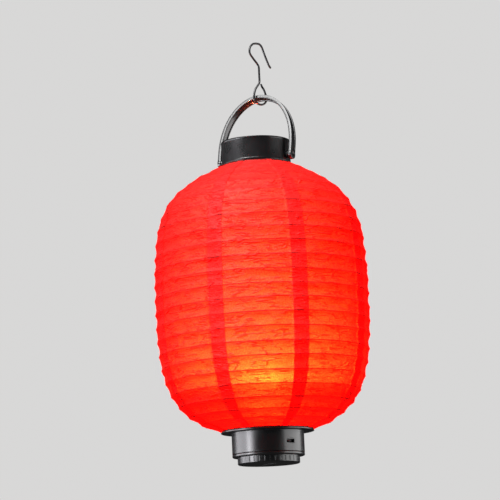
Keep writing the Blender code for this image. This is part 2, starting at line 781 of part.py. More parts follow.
# the black lead's path is the red one's turned half round about Z
for name, look, side in (("lead_red", LEAD_RED, 1), ("lead_black", LEAD_BLACK, -1)):
    path = [(side * x, side * y, z) for x, y, z in LEAD_PATH]
    finish(tube(path, LEAD_R, 6), name, look, pack)
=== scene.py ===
"""Accordion paper lantern: creased translucent gores over wire hoops, black ends, bail and hook.

The lantern stands upright on the Z axis with the underside of its foot at z = 0.
Lengths are in millimetres until a mesh is made. Every piece is built in the frame's coordinates.
"""

import json
import math
from collections import namedtuple

import bmesh
import bpy
import numpy as np
from mathutils import Matrix, Vector
from mathutils.geometry import interpolate_bezier

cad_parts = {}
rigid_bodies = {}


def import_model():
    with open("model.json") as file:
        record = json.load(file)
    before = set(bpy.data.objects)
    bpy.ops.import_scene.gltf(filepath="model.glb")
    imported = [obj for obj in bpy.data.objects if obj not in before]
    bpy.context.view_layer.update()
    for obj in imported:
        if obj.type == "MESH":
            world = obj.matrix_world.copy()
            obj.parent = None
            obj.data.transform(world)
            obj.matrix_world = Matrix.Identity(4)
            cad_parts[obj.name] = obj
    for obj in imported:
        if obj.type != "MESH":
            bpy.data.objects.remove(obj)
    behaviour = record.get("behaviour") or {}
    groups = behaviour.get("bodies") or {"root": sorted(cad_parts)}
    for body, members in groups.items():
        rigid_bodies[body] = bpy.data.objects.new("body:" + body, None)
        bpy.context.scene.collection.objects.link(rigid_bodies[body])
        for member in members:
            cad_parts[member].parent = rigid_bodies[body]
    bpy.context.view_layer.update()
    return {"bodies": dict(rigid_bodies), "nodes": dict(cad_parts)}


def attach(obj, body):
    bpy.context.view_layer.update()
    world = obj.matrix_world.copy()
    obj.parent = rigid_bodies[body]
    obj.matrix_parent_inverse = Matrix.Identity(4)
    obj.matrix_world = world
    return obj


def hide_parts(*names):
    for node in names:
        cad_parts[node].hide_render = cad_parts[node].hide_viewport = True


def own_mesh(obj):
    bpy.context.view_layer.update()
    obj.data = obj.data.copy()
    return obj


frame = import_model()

MM = 0.001
rng = np.random.default_rng(20)
uniform = rng.uniform

# ---- sizes, shared with the frame -------------------------------------------
SHADE_BOTTOM_Z, SHADE_EQUATOR_Z, SHADE_TOP_Z = 32.0, 157.0, 286.4
SHADE_R, SHADE_TOP_R, SHADE_BOTTOM_R = 102.2, 33.8, 44.2
# Bezier handles of the shade's meridian (radius, height), the one at the equator first
UPPER_HANDLES = ((SHADE_R, 248.9), (91.4, 258.3))
LOWER_HANDLES = ((SHADE_R, 88.9), (97.7, 45.9))
CUFF, BANDS = 19.4, 23  # length of the lowest band, and the number of bands
PANELS = 8
PANEL_TURN = 360.0 / PANELS
SEAM_ANGLE, LAP, LAP_RAMP = -1.0, 8.5, 1.4  # degrees
LAP_LIFT = 0.42
PAPER_THICK = 0.2
HOOP_OFFSET = 1.26  # hoop's middle inside the paper's outer face
WIRE_R = 0.52
PACK_TURN = -24.0  # degrees the battery pack is turned about Z
PEG_Z, BAIL_LEAN = 293.0, 12.5
BAIL_HALF_SPAN, BAIL_HEIGHT, BAIL_WIDTH, BAIL_THICK = 38.4, 64.0, 9.0, 3.2
HOOK_YAW, HOOK_WIRE_R = 24.0, 1.0
COLLAR_R, COLLAR_IN, SKIRT_R, SKIRT_IN = 33.2, 31.4, 31.5, 29.7
DECK_TOP_Z, BASE_R, BASE_WALL, BASE_BOTTOM_Z, FLANGE_R = 31.2, 34.2, 2.2, 9.9, 44.0
DECK_LOW_Z, BASE_IN = DECK_TOP_Z - 1.6, BASE_R - BASE_WALL
FOOT_R, FOOT_H, RIM_TOP = 29.4, 7.0, 9.5
SWITCH_Z = 19.0
CELL_R, CELL_LENGTH, CELL_PITCH, CELL_Z = 5.2, 43.3, 11.1, 17.0
CELL_SHIFT = 1.1  # along the cell, towards its positive end
BAY_END = 25.4  # half the length of the cells' bay


# ---- mesh helpers -----------------------------------------------------------
def link(name, data):
    o = bpy.data.objects.new(name, data)
    bpy.context.scene.collection.objects.link(o)
    return o


def reshade(o, sharp=38.0):
    o.data.shade_smooth()
    o.data.set_sharp_from_angle(angle=math.radians(sharp))
    return o


def made(name, bm, sharp=38.0, flip_check=True):
    """An object in metres from a bmesh in millimetres, facing out, smooth between sharp edges."""
    bmesh.ops.remove_doubles(bm, verts=bm.verts, dist=1e-5)
    bmesh.ops.recalc_face_normals(bm, faces=bm.faces)
    if flip_check and bm.calc_volume(signed=True) < 0:
        bmesh.ops.reverse_faces(bm, faces=bm.faces)
    bmesh.ops.scale(bm, vec=(MM, MM, MM), verts=bm.verts)
    mesh = bpy.data.meshes.new(name)
    bm.to_mesh(mesh)
    bm.free()
    return reshade(link(name, mesh), sharp)


def rounded(points, radius, steps=4, keep=()):
    """The closed outline with each corner turned into a small arc, save those in keep."""
    out = []
    for i, point in enumerate(points):
        corner = Vector(point)
        if i in keep:
            out.append(corner)
            continue
        before = Vector(points[i - 1]) - corner
        after = Vector(points[(i + 1) % len(points)]) - corner
        reach = min(radius, before.length * 0.45, after.length * 0.45)
        if reach < 1e-4:
            out.append(corner)
            continue
        before.normalize()
        after.normalize()
        if abs(before.dot(after)) > 0.999:
            out.append(corner)
            continue
        start, end = corner + before * reach, corner + after * reach
        for k in range(steps + 1):
            t = k / steps
            out.append((1 - t) ** 2 * start + 2 * t * (1 - t) * corner + t * t * end)
    return out


def turned_bm(profile, sides=128, bm=None, about=(0.0, 0.0)):
    """Revolves a closed (radius, height) outline about Z. Points at radius 0 become poles."""
    bm = bm or bmesh.new()
    rings = []
    for r, z in profile:
        if r < 1e-6:
            rings.append([bm.verts.new((*about, z))])
            continue
        ring = []
        for k in range(sides):
            angle = math.tau * k / sides
            x, y = about[0] + r * math.cos(angle), about[1] + r * math.sin(angle)
            ring.append(bm.verts.new((x, y, z)))
        rings.append(ring)
    for a, b in zip(rings, rings[1:] + rings[:1]):
        if len(a) == 1 and len(b) == 1:
            continue
        for k in range(sides):
            m = (k + 1) % sides
            if len(a) == 1:
                bm.faces.new((a[0], b[k], b[m]))
            elif len(b) == 1:
                bm.faces.new((a[k], b[0], a[m]))
            else:
                bm.faces.new((a[k], b[k], b[m], a[m]))
    return bm


def lathe(name, profile, fillet=0.3, sides=128, steps=4):
    on_axis = [i for i, point in enumerate(profile) if point[0] < 1e-6]
    return made(name, turned_bm(rounded(profile, fillet, steps, on_axis), sides))


def smooth_path(points, steps=5):
    """Catmull-Rom points through the given ones."""
    pts = [Vector(p) for p in points]
    pts = [pts[0] * 2 - pts[1]] + pts + [pts[-1] * 2 - pts[-2]]
    out = []
    for i in range(1, len(pts) - 2):
        p0, p1, p2, p3 = pts[i - 1 : i + 3]
        for k in range(steps):
            t = k / steps
            out.append(
                0.5
                * (
                    2 * p1
                    + (p2 - p0) * t
                    + (2 * p0 - 5 * p1 + 4 * p2 - p3) * t * t
                    + (3 * p1 - p0 - 3 * p2 + p3) * t**3
                )
            )
    out.append(pts[-2])
    return out


def tube_bm(points, radius, sides, normal, closed=False):
    """A round wire along points, with rounded ends unless it is closed."""
    bm = bmesh.new()
    pts = [Vector(p) for p in points]
    tangents = []
    for i in range(len(pts)):
        before = pts[(i - 1) % len(pts)] if closed or i else pts[0]
        after = pts[(i + 1) % len(pts)] if closed or i < len(pts) - 1 else pts[-1]
        tangents.append((after - before).normalized())
    frames, side = [], Vector(normal).normalized()
    for tangent in tangents:
        side = (side - tangent * side.dot(tangent)).normalized()
        frames.append((side.copy(), tangent.cross(side).normalized()))
    rings = []

    def add_ring(centre, axes, r):
        ring = []
        for k in range(sides):
            angle = math.tau * k / sides
            spoke = axes[0] * math.cos(angle) + axes[1] * math.sin(angle)
            ring.append(bm.verts.new(centre + spoke * r))
        rings.append(ring)

    def add_cap(end, outward, degrees):
        for angle in map(math.radians, degrees):
            centre = pts[end] + tangents[end] * outward * radius * math.sin(angle)
            add_ring(centre, frames[end], radius * math.cos(angle))

    if not closed:
        add_cap(0, -1, (80, 60, 35))
    for point, axes in zip(pts, frames):
        add_ring(point, axes, radius)
    if not closed:
        add_cap(-1, 1, (35, 60, 80))
    for i in range(len(rings) if closed else len(rings) - 1):
        a, b = rings[i], rings[(i + 1) % len(rings)]
        for k in range(sides):
            m = (k + 1) % sides
            bm.faces.new((a[k], a[m], b[m], b[k]))
    if not closed:
        bm.faces.new(list(reversed(rings[0])))
        bm.faces.new(rings[-1])
    return bm


def box_bm(low, high, bevel=0.0, segments=2, turn_z=0.0):
    """A box between two corners, bevelled, then turned about Z by turn_z degrees."""
    bm = bmesh.new()
    bmesh.ops.create_cube(bm, size=1.0)
    for v in bm.verts:
        v.co = Vector([(a + b) / 2 + c * (b - a) for a, b, c in zip(low, high, v.co)])
    if bevel:
        bmesh.ops.bevel(
            bm, geom=list(bm.edges), offset=bevel, segments=segments, profile=0.5, affect="EDGES"
        )
    if turn_z:
        rotate_z(bm, bm.verts, turn_z)
    return bm


def rotate_z(bm, verts, degrees):
    matrix = Matrix.Rotation(math.radians(degrees), 3, "Z")
    bmesh.ops.rotate(bm, verts=verts, cent=(0, 0, 0), matrix=matrix)


def apply_boolean(target, other, operation="DIFFERENCE"):
    modifier = target.modifiers.new("cut", "BOOLEAN")
    modifier.object = other
    modifier.operation = operation
    modifier.solver = "EXACT"
    graph = bpy.context.evaluated_depsgraph_get()
    mesh = bpy.data.meshes.new_from_object(target.evaluated_get(graph), depsgraph=graph)
    target.modifiers.clear()
    old = target.data
    target.data = mesh
    bpy.data.meshes.remove(old)
    bpy.data.objects.remove(other)


def move(x=0.0, y=0.0, z=0.0):
    return Matrix.Translation((x * MM, y * MM, z * MM))


def turn(degrees, axis):
    return Matrix.Rotation(math.radians(degrees), 4, axis)


PACK = turn(PACK_TURN, "Z")


# ---- shade: meridian and bands ----------------------------------------------
def shade_curve(steps=400):
    middle = Vector((SHADE_R, SHADE_EQUATOR_Z))
    bottom, top = Vector((SHADE_BOTTOM_R, SHADE_BOTTOM_Z)), Vector((SHADE_TOP_R, SHADE_TOP_Z))
    (low_a, low_b), (up_a, up_b) = (map(Vector, h) for h in (LOWER_HANDLES, UPPER_HANDLES))
    lower = interpolate_bezier(bottom, low_b, low_a, middle, steps)
    upper = interpolate_bezier(middle, up_a, up_b, top, steps)
    return [Vector(p[:2]) for p in list(lower) + list(upper)[1:]]


def band_edges():
    """(point, outward normal, distance along the sheet) at each edge between bands."""
    curve = shade_curve()
    along = [0.0]
    for a, b in zip(curve, curve[1:]):
        along.append(along[-1] + (b - a).length)
    total = along[-1]
    edges, i = [], 0
    for s in [0.0] + [CUFF + (total - CUFF) * j / (BANDS - 1) for j in range(BANDS)]:
        while i < len(along) - 2 and along[i + 1] < s:
            i += 1
        part = min(max((s - along[i]) / (along[i + 1] - along[i]), 0.0), 1.0)
        tangent = (curve[i + 1] - curve[i]).normalized()
        edges.append((curve[i].lerp(curve[i + 1], part), Vector((tangent.y, -tangent.x)), s))
    return edges


EDGES = band_edges()
EDGE_S = [edge[2] for edge in EDGES]
SHEET_LENGTH = EDGE_S[-1]


# ---- materials --------------------------------------------------------------
class Look:
    """A node material, or world, with short calls for the nodes used here."""

    def __init__(self, name, kind="Material"):
        self.owner = (bpy.data.worlds if kind == "World" else bpy.data.materials).new(name)
        self.owner.use_nodes = True
        self.tree = self.owner.node_tree
        self.tree.nodes.clear()
        self.out = self.node("Output" + kind)
        self.out = self.out.inputs["Surface"]

    def fill(self, socket, value):
        if isinstance(value, bpy.types.NodeSocket):
            self.tree.links.new(value, socket)
        elif socket.type == "RGBA":
            socket.default_value = (*value, 1.0)
        else:
            socket.default_value = value

    def node(self, kind, inputs={}, **settings):
        node = self.tree.nodes.new("ShaderNode" + kind)
        for key, value in settings.items():
            setattr(node, key, value)
        for key, value in inputs.items():
            self.fill(node.inputs[key], value)
        return node

    def put(self, kind, inputs={}, output=0, **settings):
        """One output of a new node."""
        return self.node(kind, inputs, **settings).outputs[output]

    def mapped(self, source, scale, rotation):
        return self.put("Mapping", {"Vector": source, "Scale": scale, "Rotation": rotation})

    def coords(self, scale=(1, 1, 1), rotation=(0, 0, 0)):
        return self.mapped(self.put("TexCoord", output="Object"), scale, rotation)

    def sheet(self, stretch=1.0, turn=0.0):
        """The paper's own map, scaled across by stretch and turned by degrees."""
        source = self.put("UVMap", uv_map="sheet")
        return self.mapped(source, (stretch, 1.0, 1.0), (0, 0, math.radians(turn)))

    def noise(self, vector, scale, detail=3.0, rough=0.5, distort=0.0):
        inputs = {"Vector": vector, "Scale": scale, "Detail": detail}
        inputs |= {"Roughness": rough, "Distortion": distort}
        return self.put("TexNoise", inputs, "Fac")

    def cell_edges(self, vector, scale, randomness=1.0):
        inputs = {"Vector": vector, "Scale": scale, "Randomness": randomness}
        return self.put("TexVoronoi", inputs, "Distance", feature="DISTANCE_TO_EDGE")

    def ramp(self, value, span=(0.3, 0.7), to=(0.0, 1.0), kind="SMOOTHSTEP"):
        inputs = {"Value": value, "From Min": span[0], "From Max": span[1]}
        inputs |= {"To Min": to[0], "To Max": to[1]}
        return self.put("MapRange", inputs, "Result", interpolation_type=kind)

    def fade(self, mask, full, bare=1.0):
        """Runs evenly from bare, where the mask is 0, to full, where it is 1."""
        return self.ramp(mask, (0.0, 1.0), (bare, full), "LINEAR")

    def math(self, operation, a, b=0.0, clamp=False):
        return self.put("Math", {0: a, 1: b}, operation=operation, use_clamp=clamp)

    def times(self, product, *factors):
        for factor in factors:
            product = self.math("MULTIPLY", product, factor)
        return product

    def weighted(self, *pairs):
        """The sum of (value, weight) pairs."""
        total, *rest = [self.times(*pair) for pair in pairs]
        for part in rest:
            total = self.math("ADD", total, part)
        return total

    def vector(self, operation, inputs, output=0):
        return self.put("VectorMath", inputs, output, operation=operation)

    def blend(self, factor, a, b):
        return self.put("Mix", {0: factor, 6: a, 7: b}, 2, data_type="RGBA", blend_type="MIX")

    def tinted(self, colour, factor):
        """colour times a single value."""
        return self.vector("SCALE", {0: colour, "Scale": factor})

    def bump(self, height, distance, strength=1.0):
        inputs = {"Distance": distance, "Strength": strength, "Height": height}
        return self.put("Bump", inputs, "Normal")

    def principled(self, colour, rough, normal, metal=0.0, **more):
        inputs = {"Base Color": colour, "Roughness": rough, "Metallic": metal, "Normal": normal}
        inputs |= {key.replace("_", " "): value for key, value in more.items()}
        return self.put("BsdfPrincipled", inputs)

    def mix(self, factor, a, b):
        return self.put("MixShader", {0: factor, 1: a, 2: b})

    def done(self, shader):
        self.fill(self.out, shader)
        return self.owner


def scaled(colour, factor, add=0.0):
    return tuple(c * factor + add for c in colour)


# light through the sheet: orange where it is seen square on,
# deep red where the path through the paper is long
REFLECT_RED, REFLECT_DARK = (0.60, 0.064, 0.056), (0.55, 0.048, 0.044)
SCATTER_RED, SCATTER_DEEP = (0.95, 0.122, 0.024), (0.95, 0.006, 0.004)
THROUGH_ORANGE, THROUGH_DEEP = (1.0, 0.42, 0.075), (0.8, 0.01, 0.004)
ONWARD_RED = (0.30, 0.003, 0.002)  # what a layer lets on to the next one
THROUGH_SHARE = 0.08  # share of the passing light that comes nearly straight
PASS_SHARE = 0.56  # share of the light that passes and isn't reflected
RIB_PITCH_CM = (SHEET_LENGTH - CUFF) / (BANDS - 1) / 10.0
# long wrinkles along the bands and shorter slanting ones:
# turn in degrees, stretch, noise scale, patch scale, line width, strength
WRINKLES = (
    (4.0, 0.12, 1.1, 0.8, 0.036, 1.0),
    (-22.0, 0.20, 1.15, 0.9, 0.030, 1.0),
    (27.0, 0.22, 1.1, 0.85, 0.030, 1.0),
    (-7.0, 0.16, 2.4, 1.2, 0.04, 0.45),
)


def wrinkle_lines(look):
    """Wrinkle lines, present in patches: a mask for their relief and for the painted shade along
    them.
    """
    lines = None
    for turned, stretch, scale, patch, width, gain in WRINKLES:
        field = look.noise(look.sheet(stretch, turned), scale, detail=2.5, rough=0.55, distort=0.35)
        middle = look.math("ABSOLUTE", look.math("SUBTRACT", field, 0.5))
        patches = look.noise(look.sheet(turn=turned * 3 + 40), patch, detail=2.0)
        ridge = look.times(
            look.ramp(middle, span=(0.0, width), to=(1.0, 0.0)),
            look.ramp(patches, span=(0.45, 0.58), to=(0.0, gain)),
        )
        lines = ridge if lines is None else look.math("MAXIMUM", lines, ridge)
    return lines


def painted_hoop_shade(look, sheet):
    """Painted shade: a thin dark line over each hoop standing for the wire's shadow, and painted
    shade on the part of each band below a hoop.
    """
    up = look.put("SeparateXYZ", {0: sheet}, "Y")
    past_cuff = look.math("SUBTRACT", up, CUFF / 10.0)
    # painted shadow of the hoop wire: a thin dark line along each hoop
    line = look.ramp(
        look.math("PINGPONG", past_cuff, RIB_PITCH_CM / 2.0), span=(0.022, 0.074), to=(1.0, 0.0)
    )
    past_cuff = look.math("SUBTRACT", up, CUFF / 10.0)
    within = look.math("FRACT", look.math("DIVIDE", past_cuff, RIB_PITCH_CM))
    patches = look.noise(look.sheet(stretch=0.5), scale=0.55, detail=2.0)
    # painted shade: each band darker towards the hoop above it, in patches
    painted_band_shade = look.times(
        look.ramp(within, span=(0.48, 1.0)),
        look.ramp(patches, span=(0.36, 0.62), to=(0.15, 1.0)),
    )
    broken = look.noise(sheet, scale=1.7, rough=0.6)
    return look.times(line, look.ramp(broken, span=(0.3, 0.62), to=(0.62, 1.0))), painted_band_shade


def paper_look(name, inner=False):
    """Thin red tissue paper. Its sheet map is in centimetres: across the gore and up along it."""
    look = Look(name)
    sheet = look.sheet()
    speck = look.noise(sheet, scale=6.5, rough=0.62, distort=0.25)
    fleck = look.noise(sheet, scale=16.0, detail=2.0)
    cloud = look.noise(sheet, scale=0.75, rough=0.55)
    streak = look.noise(look.sheet(0.42, turn=3.0), scale=7.5, detail=4.0, rough=0.62, distort=0.7)
    fibre = look.cell_edges(look.sheet(0.5, turn=24.0), scale=5.5)
    lines = wrinkle_lines(look)
    # painted shade: the wire's shadow over each hoop and a dimmer part of each band below it
    painted_hoop_shadow, painted_band_shade = painted_hoop_shade(look, sheet)
    # light let through: the paper's thickness varies at random, with painted shade along the wrinkle
    # lines and over the hoops
    thin = look.times(
        look.ramp(speck, span=(0.34, 0.66), to=(0.80, 1.12)),
        look.ramp(fleck, to=(0.90, 1.08)),
        look.ramp(cloud, to=(0.88, 1.08)),
        look.ramp(streak, span=(0.3, 0.72), to=(0.93, 1.04)),
        look.ramp(fibre, span=(0.0, 0.05), to=(0.86, 1.0)),
        look.fade(lines, full=0.58),
        look.fade(painted_hoop_shadow, full=0.34),
    )
    height = look.weighted(
        (streak, 0.13), (lines, 0.42), (speck, 0.12), (fleck, 0.05), (painted_hoop_shadow, 0.03)
    )
    normal = look.bump(height, distance=0.0009, strength=0.85)

    # how squarely the sheet is seen, wrinkles included
    geometry = look.node("NewGeometry").outputs
    facing = look.vector("DOT_PRODUCT", {0: normal, 1: geometry["Incoming"]}, "Value")
    cosine = look.math("MAXIMUM", look.math("ABSOLUTE", facing), 0.12)
    extra_path = look.math("SUBTRACT", look.math("DIVIDE", 1.0, cosine), 1.0)
    # deeper red where the sheet is seen slanting, with painted shade along the wrinkle lines, over
    # the hoops and below them
    clear = look.times(
        look.math("POWER", 0.18, extra_path),
        look.fade(lines, full=0.45),
        look.fade(painted_hoop_shadow, full=0.10),
        look.fade(painted_band_shade, bare=1.04, full=0.50),
        look.ramp(speck, span=(0.34, 0.66), to=(0.84, 1.12)),
    )
    clear_streak = look.ramp(streak, span=(0.3, 0.72), to=(0.95, 1.03))
    clear = look.math("MULTIPLY", clear, clear_streak, clamp=True)

    clouded = look.blend(look.ramp(cloud), REFLECT_RED, REFLECT_DARK)
    reflect_colour = look.tinted(clouded, look.ramp(speck, to=(0.88, 1.06)))
    reflected = look.principled(
        # painted crease shade: the reflected colour darker along the wrinkle lines, a little lighter
        # elsewhere
        look.tinted(reflect_colour, look.fade(lines, bare=1.05, full=0.72)),
        rough=look.ramp(streak, to=(0.58, 0.42)),
        normal=look.bump(height, distance=0.0018),
        Specular_IOR_Level=0.45,
    )
    scatter_colour = look.tinted(look.blend(clear, SCATTER_DEEP, SCATTER_RED), thin)
    scattered = look.put("BsdfTranslucent", {"Color": scatter_colour, "Normal": normal})
    # the part that comes nearly straight through spreads about the line of sight
    through_colour = look.tinted(
        look.blend(clear, THROUGH_DEEP, THROUGH_ORANGE), look.math("POWER", thin, 1.8)
    )
    tilt = look.vector("SUBTRACT", {0: normal, 1: geometry["Normal"]})
    aim = look.vector("MULTIPLY_ADD", {0: tilt, 1: (0.45, 0.45, 0.45), 2: geometry["Incoming"]})
    through = look.put(
        "BsdfRefraction",
        {
            "Color": through_colour,
            "Roughness": 0.80,
            "IOR": 1.9,
            "Normal": look.vector("NORMALIZE", {0: aim}),
        },
    )
    rays = look.node("LightPath").outputs
    seen = look.mix(THROUGH_SHARE, scattered, through)
    lit = look.mix(rays["Is Camera Ray"], scattered, seen)
    paper = look.mix(PASS_SHARE, reflected, lit)
    if not inner:
        # some red light gets on to the next layer of a lap
        onward = look.put("BsdfTransparent", {"Color": ONWARD_RED})
        return look.done(look.mix(rays["Is Shadow Ray"], paper, onward))
    # the inner face is there for the eye: the light is handled once, at the outer face
    nothing = look.put("BsdfTransparent")
    return look.done(look.mix(rays["Is Camera Ray"], nothing, paper))


def plastic_look(name, colour, rough, texture, coat=0.0, wear=0.25, shine=0.5):
    """Moulded plastic with a faint orange-peel, uneven gloss and fine scuffs."""
    look = Look(name)
    space = look.coords()
    peel = look.noise(space, scale=700.0, detail=2.0)
    grain = look.noise(space, scale=3800.0, detail=2.0)
    patches = look.noise(space, scale=55.0, detail=4.0, rough=0.6)
    drawn = look.coords(scale=(1.0, 1.0, 0.14), rotation=(0.3, 0.1, 0.6))
    scuffs = look.times(
        look.ramp(look.noise(drawn, scale=520.0, rough=0.7, distort=0.4), span=(0.60, 0.78)),
        look.ramp(patches, span=(0.46, 0.66)),
    )
    height = look.weighted((peel, 0.5), (grain, texture))
    height = look.math("SUBTRACT", height, look.times(scuffs, 0.25))
    gloss = look.ramp(patches, to=(rough - 0.035, rough + 0.05))
    body = look.blend(look.ramp(patches, span=(0.35, 0.7)), colour, scaled(colour, 1.25))
    shader = look.principled(
        look.blend(look.times(scuffs, 0.6), body, scaled(colour, 2.2, add=0.006)),
        rough=look.math("ADD", gloss, look.times(scuffs, wear), clamp=True),
        normal=look.bump(height, distance=0.00006, strength=0.35 + texture),
        Specular_IOR_Level=shine,
        Coat_Weight=coat,
        Coat_Roughness=0.16,
    )
    return look.done(shader)


def metal_look(name, colour, rough, stretch, spots, spot_colour):
    """Bare metal with drawn lines and darker spots."""
    look = Look(name)
    lines = look.noise(look.coords(scale=stretch), scale=1500.0, rough=0.6)
    cloud = look.noise(look.coords(), scale=160.0, detail=4.0, rough=0.6)
    dark = look.ramp(cloud, span=(0.55, 0.72))
    gloss = look.ramp(lines, to=(rough - 0.06, rough + 0.08))
    body = look.blend(look.ramp(lines), colour, scaled(colour, 0.8))
    shader = look.principled(
        look.blend(look.times(dark, spots), body, spot_colour),
        rough=look.math("ADD", gloss, look.times(dark, 0.2 * spots), clamp=True),
        metal=1.0,
        normal=look.bump(lines, distance=0.00003, strength=0.4),
    )
    return look.done(shader)


def coated_wire_look():
    """Black lacquered wire, with scattered chips where steel shows."""
    look = Look("hook_coating")
    space = look.coords()
    drips = look.noise(look.coords(scale=(1, 1, 0.35)), scale=420.0, rough=0.55)
    chips = look.times(
        look.ramp(look.noise(space, scale=900.0, detail=4.0, rough=0.7), span=(0.66, 0.71)),
        look.ramp(look.noise(space, scale=110.0, detail=2.0), span=(0.52, 0.6)),
    )
    wet = look.ramp(drips, span=(0.35, 0.7))
    lacquer = look.blend(wet, (0.014, 0.014, 0.015), (0.03, 0.03, 0.032))
    gloss = look.ramp(drips, to=(0.22, 0.36))
    height = look.math("SUBTRACT", look.times(drips, 0.6), look.times(chips, 0.5))
    shader = look.principled(
        look.blend(chips, lacquer, (0.30, 0.29, 0.28)),
        rough=look.math("ADD", gloss, look.times(chips, 0.1)),
        metal=chips,
        normal=look.bump(height, distance=0.00008, strength=0.5),
        Specular_IOR_Level=0.6,
        Coat_Weight=0.2,
        Coat_Roughness=0.15,
    )
    return look.done(shader)


def lamp_look():
    """Amber epoxy that glows more strongly towards its top."""
    look = Look("lamp_epoxy")
    swirl = look.noise(look.coords(), scale=600.0, detail=2.0)
    up = look.put("SeparateXYZ", {0: look.put("TexCoord", output="Object")}, "Z")
    core = look.ramp(up, span=(0.0478, 0.0535), to=(0.25, 1.0))
    glow = look.blend(core, (1.0, 0.30, 0.05), (1.0, 0.62, 0.22))
    shader = look.principled(
        look.blend(core, (1.0, 0.40, 0.08), (1.0, 0.62, 0.2)),
        rough=look.ramp(swirl, to=(0.06, 0.14)),
        normal=look.bump(swirl, distance=0.00002, strength=0.3),
        Emission_Color=look.tinted(glow, look.ramp(swirl, to=(0.9, 1.1))),
        Emission_Strength=look.times(core, 9.0),
    )
    return look.done(shader)


def sleeve_look():
    """Cell's plastic sleeve: plain dark green with pale scuffs."""
    look = Look("cell_sleeve")
    space = look.coords()
    shrink = look.noise(look.coords(scale=(1, 0.25, 1)), scale=300.0, rough=0.6)
    scuff = look.ramp(look.noise(space, scale=800.0, detail=4.0, rough=0.7), span=(0.62, 0.74))
    green = look.blend(look.ramp(shrink), (0.035, 0.14, 0.085), (0.05, 0.17, 0.11))
    shader = look.principled(
        look.blend(look.times(scuff, 0.35), green, (0.25, 0.30, 0.27)),
        rough=look.ramp(shrink, to=(0.26, 0.4)),
        metal=0.25,
        normal=look.bump(shrink, distance=0.00005, strength=0.4),
        Coat_Weight=0.4,
        Coat_Roughness=0.12,
    )
    return look.done(shader)


def board_look():
    """Green solder mask over paler tracks."""
    look = Look("board_mask")
    space = look.coords()
    edges = look.cell_edges(look.coords(scale=(1, 1, 0.05)), scale=420.0, randomness=0.35)
    tracks = look.ramp(edges, span=(0.05, 0.09), to=(1.0, 0.0))
    haze = look.noise(space, scale=500.0)
    mask = look.blend(haze, (0.012, 0.10, 0.035), (0.02, 0.14, 0.05))
    shader = look.principled(
        look.blend(tracks, mask, (0.05, 0.26, 0.10)),
        rough=look.ramp(haze, to=(0.28, 0.42)),
        normal=look.bump(tracks, distance=0.00004, strength=0.6),
    )
    return look.done(shader)


def lead_look(name, colour):
    """Soft wire insulation."""
    look = Look(name)
    space = look.coords()
    fine = look.noise(space, scale=900.0, rough=0.55)
    grime = look.ramp(look.noise(space, scale=120.0), span=(0.35, 0.7))
    shader = look.principled(
        look.blend(grime, colour, scaled(colour, 0.7)),
        rough=look.ramp(fine, to=(0.38, 0.52)),
        normal=look.bump(fine, distance=0.00004, strength=0.4),
    )
    return look.done(shader)


LOOKS = {
    "paper": paper_look("tissue_paper"),
    "paper_in": paper_look("tissue_paper_inside", inner=True),
    "rib_wire": plastic_look(
        "rib_wire", colour=(0.20, 0.016, 0.012), rough=0.45, texture=0.1, wear=0.1
    ),
    "black_gloss": plastic_look(
        "black_gloss", colour=(0.0045, 0.0045, 0.0050), rough=0.30, texture=0.05, coat=0.30, shine=0.8
    ),
    "black_matte": plastic_look(
        "black_matte", colour=(0.016, 0.016, 0.017), rough=0.46, texture=0.5, wear=0.12
    ),
    "hook_wire": coated_wire_look(),
    "cell_sleeve": sleeve_look(),
    "contact_steel": metal_look(
        "contact_steel",
        colour=(0.66, 0.65, 0.61),
        rough=0.27,
        stretch=(1, 0.08, 1),
        spots=0.25,
        spot_colour=(0.30, 0.24, 0.16),
    ),
    "switch_can": metal_look(
        "switch_can",
        colour=(0.10, 0.10, 0.10),
        rough=0.42,
        stretch=(1, 0.3, 1),
        spots=0.3,
        spot_colour=(0.04, 0.035, 0.03),
    ),
    "board": board_look(),
    "lamp": lamp_look(),
    "lead_red": lead_look("lead_red", colour=(0.55, 0.02, 0.018)),
    "lead_black": lead_look("lead_black", colour=(0.018, 0.018, 0.019)),
}


def assign(o, body, slot_name, *nodes):
    """Gives a piece its body and hides the frame nodes it stands for."""
    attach(o, body)
    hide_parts(*nodes)
    return o


def place(o, body, slot_name, *nodes):
    """Assigns a piece that wears the one material of its slot."""
    o.data.materials.clear()
    o.data.materials.append(LOOKS[slot_name])
    return assign(o, body, slot_name, *nodes)


# ---- how the hoops wander ----------------------------------------------------
# Each hoop between the two ends is a little out of level and out of flat; the paper follows it.
HOOP_SWAYS = ((0.12, 0.42, 1), (0.05, 0.24, 2), (0.03, 0.14, 3), (0.02, 0.09, 7))  # low, high, waves
HOOP_WAVES = [
    [
        (float(uniform(low, high)) * (0 < i < BANDS), waves, float(uniform(0, math.tau)))
        for low, high, waves in HOOP_SWAYS
    ]
    for i in range(BANDS + 1)
]


def hoop_rise(i, theta):
    """How far hoop i stands above its own plane at angle theta (radians), in mm."""
    out = np.zeros_like(theta)
    for height, waves, phase in HOOP_WAVES[i]:
        out = out + height * np.sin(waves * theta + phase)
    return out


def wavy(low, high, waves):
    """A smooth periodic random function for each band: returns f(i, theta) in low..high."""
    terms = [
        [
            (float(rng.normal()) / (j + 1) ** 0.5, n, float(uniform(0, math.tau)))
            for j, n in enumerate(waves)
        ]
        for _ in range(BANDS)
    ]

    def value(i, theta):
        total = sum(size * np.sin(n * theta + phase) for size, n, phase in terms[i])
        return low + (high - low) * (0.5 + 0.5 * np.tanh(total * 0.8))

    return value


pull = wavy(0.70, 1.75, (2, 3, 5, 9, 14, 23))  # depth of each band between its hoops
skew = wavy(-0.16, 0.16, (1, 3, 6, 11))
PULL_BANDS = (0, 1, 4, 7, 14, 17, 22)  # how the depth varies up the shade: band and share
PULL_SHARES = (0.5, 0.68, 0.78, 1.0, 0.95, 0.5, 0.4)

# ---- creases: one field over the whole shade, so that lapped sheets nest ----
# angle in degrees, distance along the sheet, turn in radians, then sizes in mm
Crease = namedtuple("Crease", "angle s turn half_length half_width height bow")


def sign():
    return rng.choice([-1, 1])


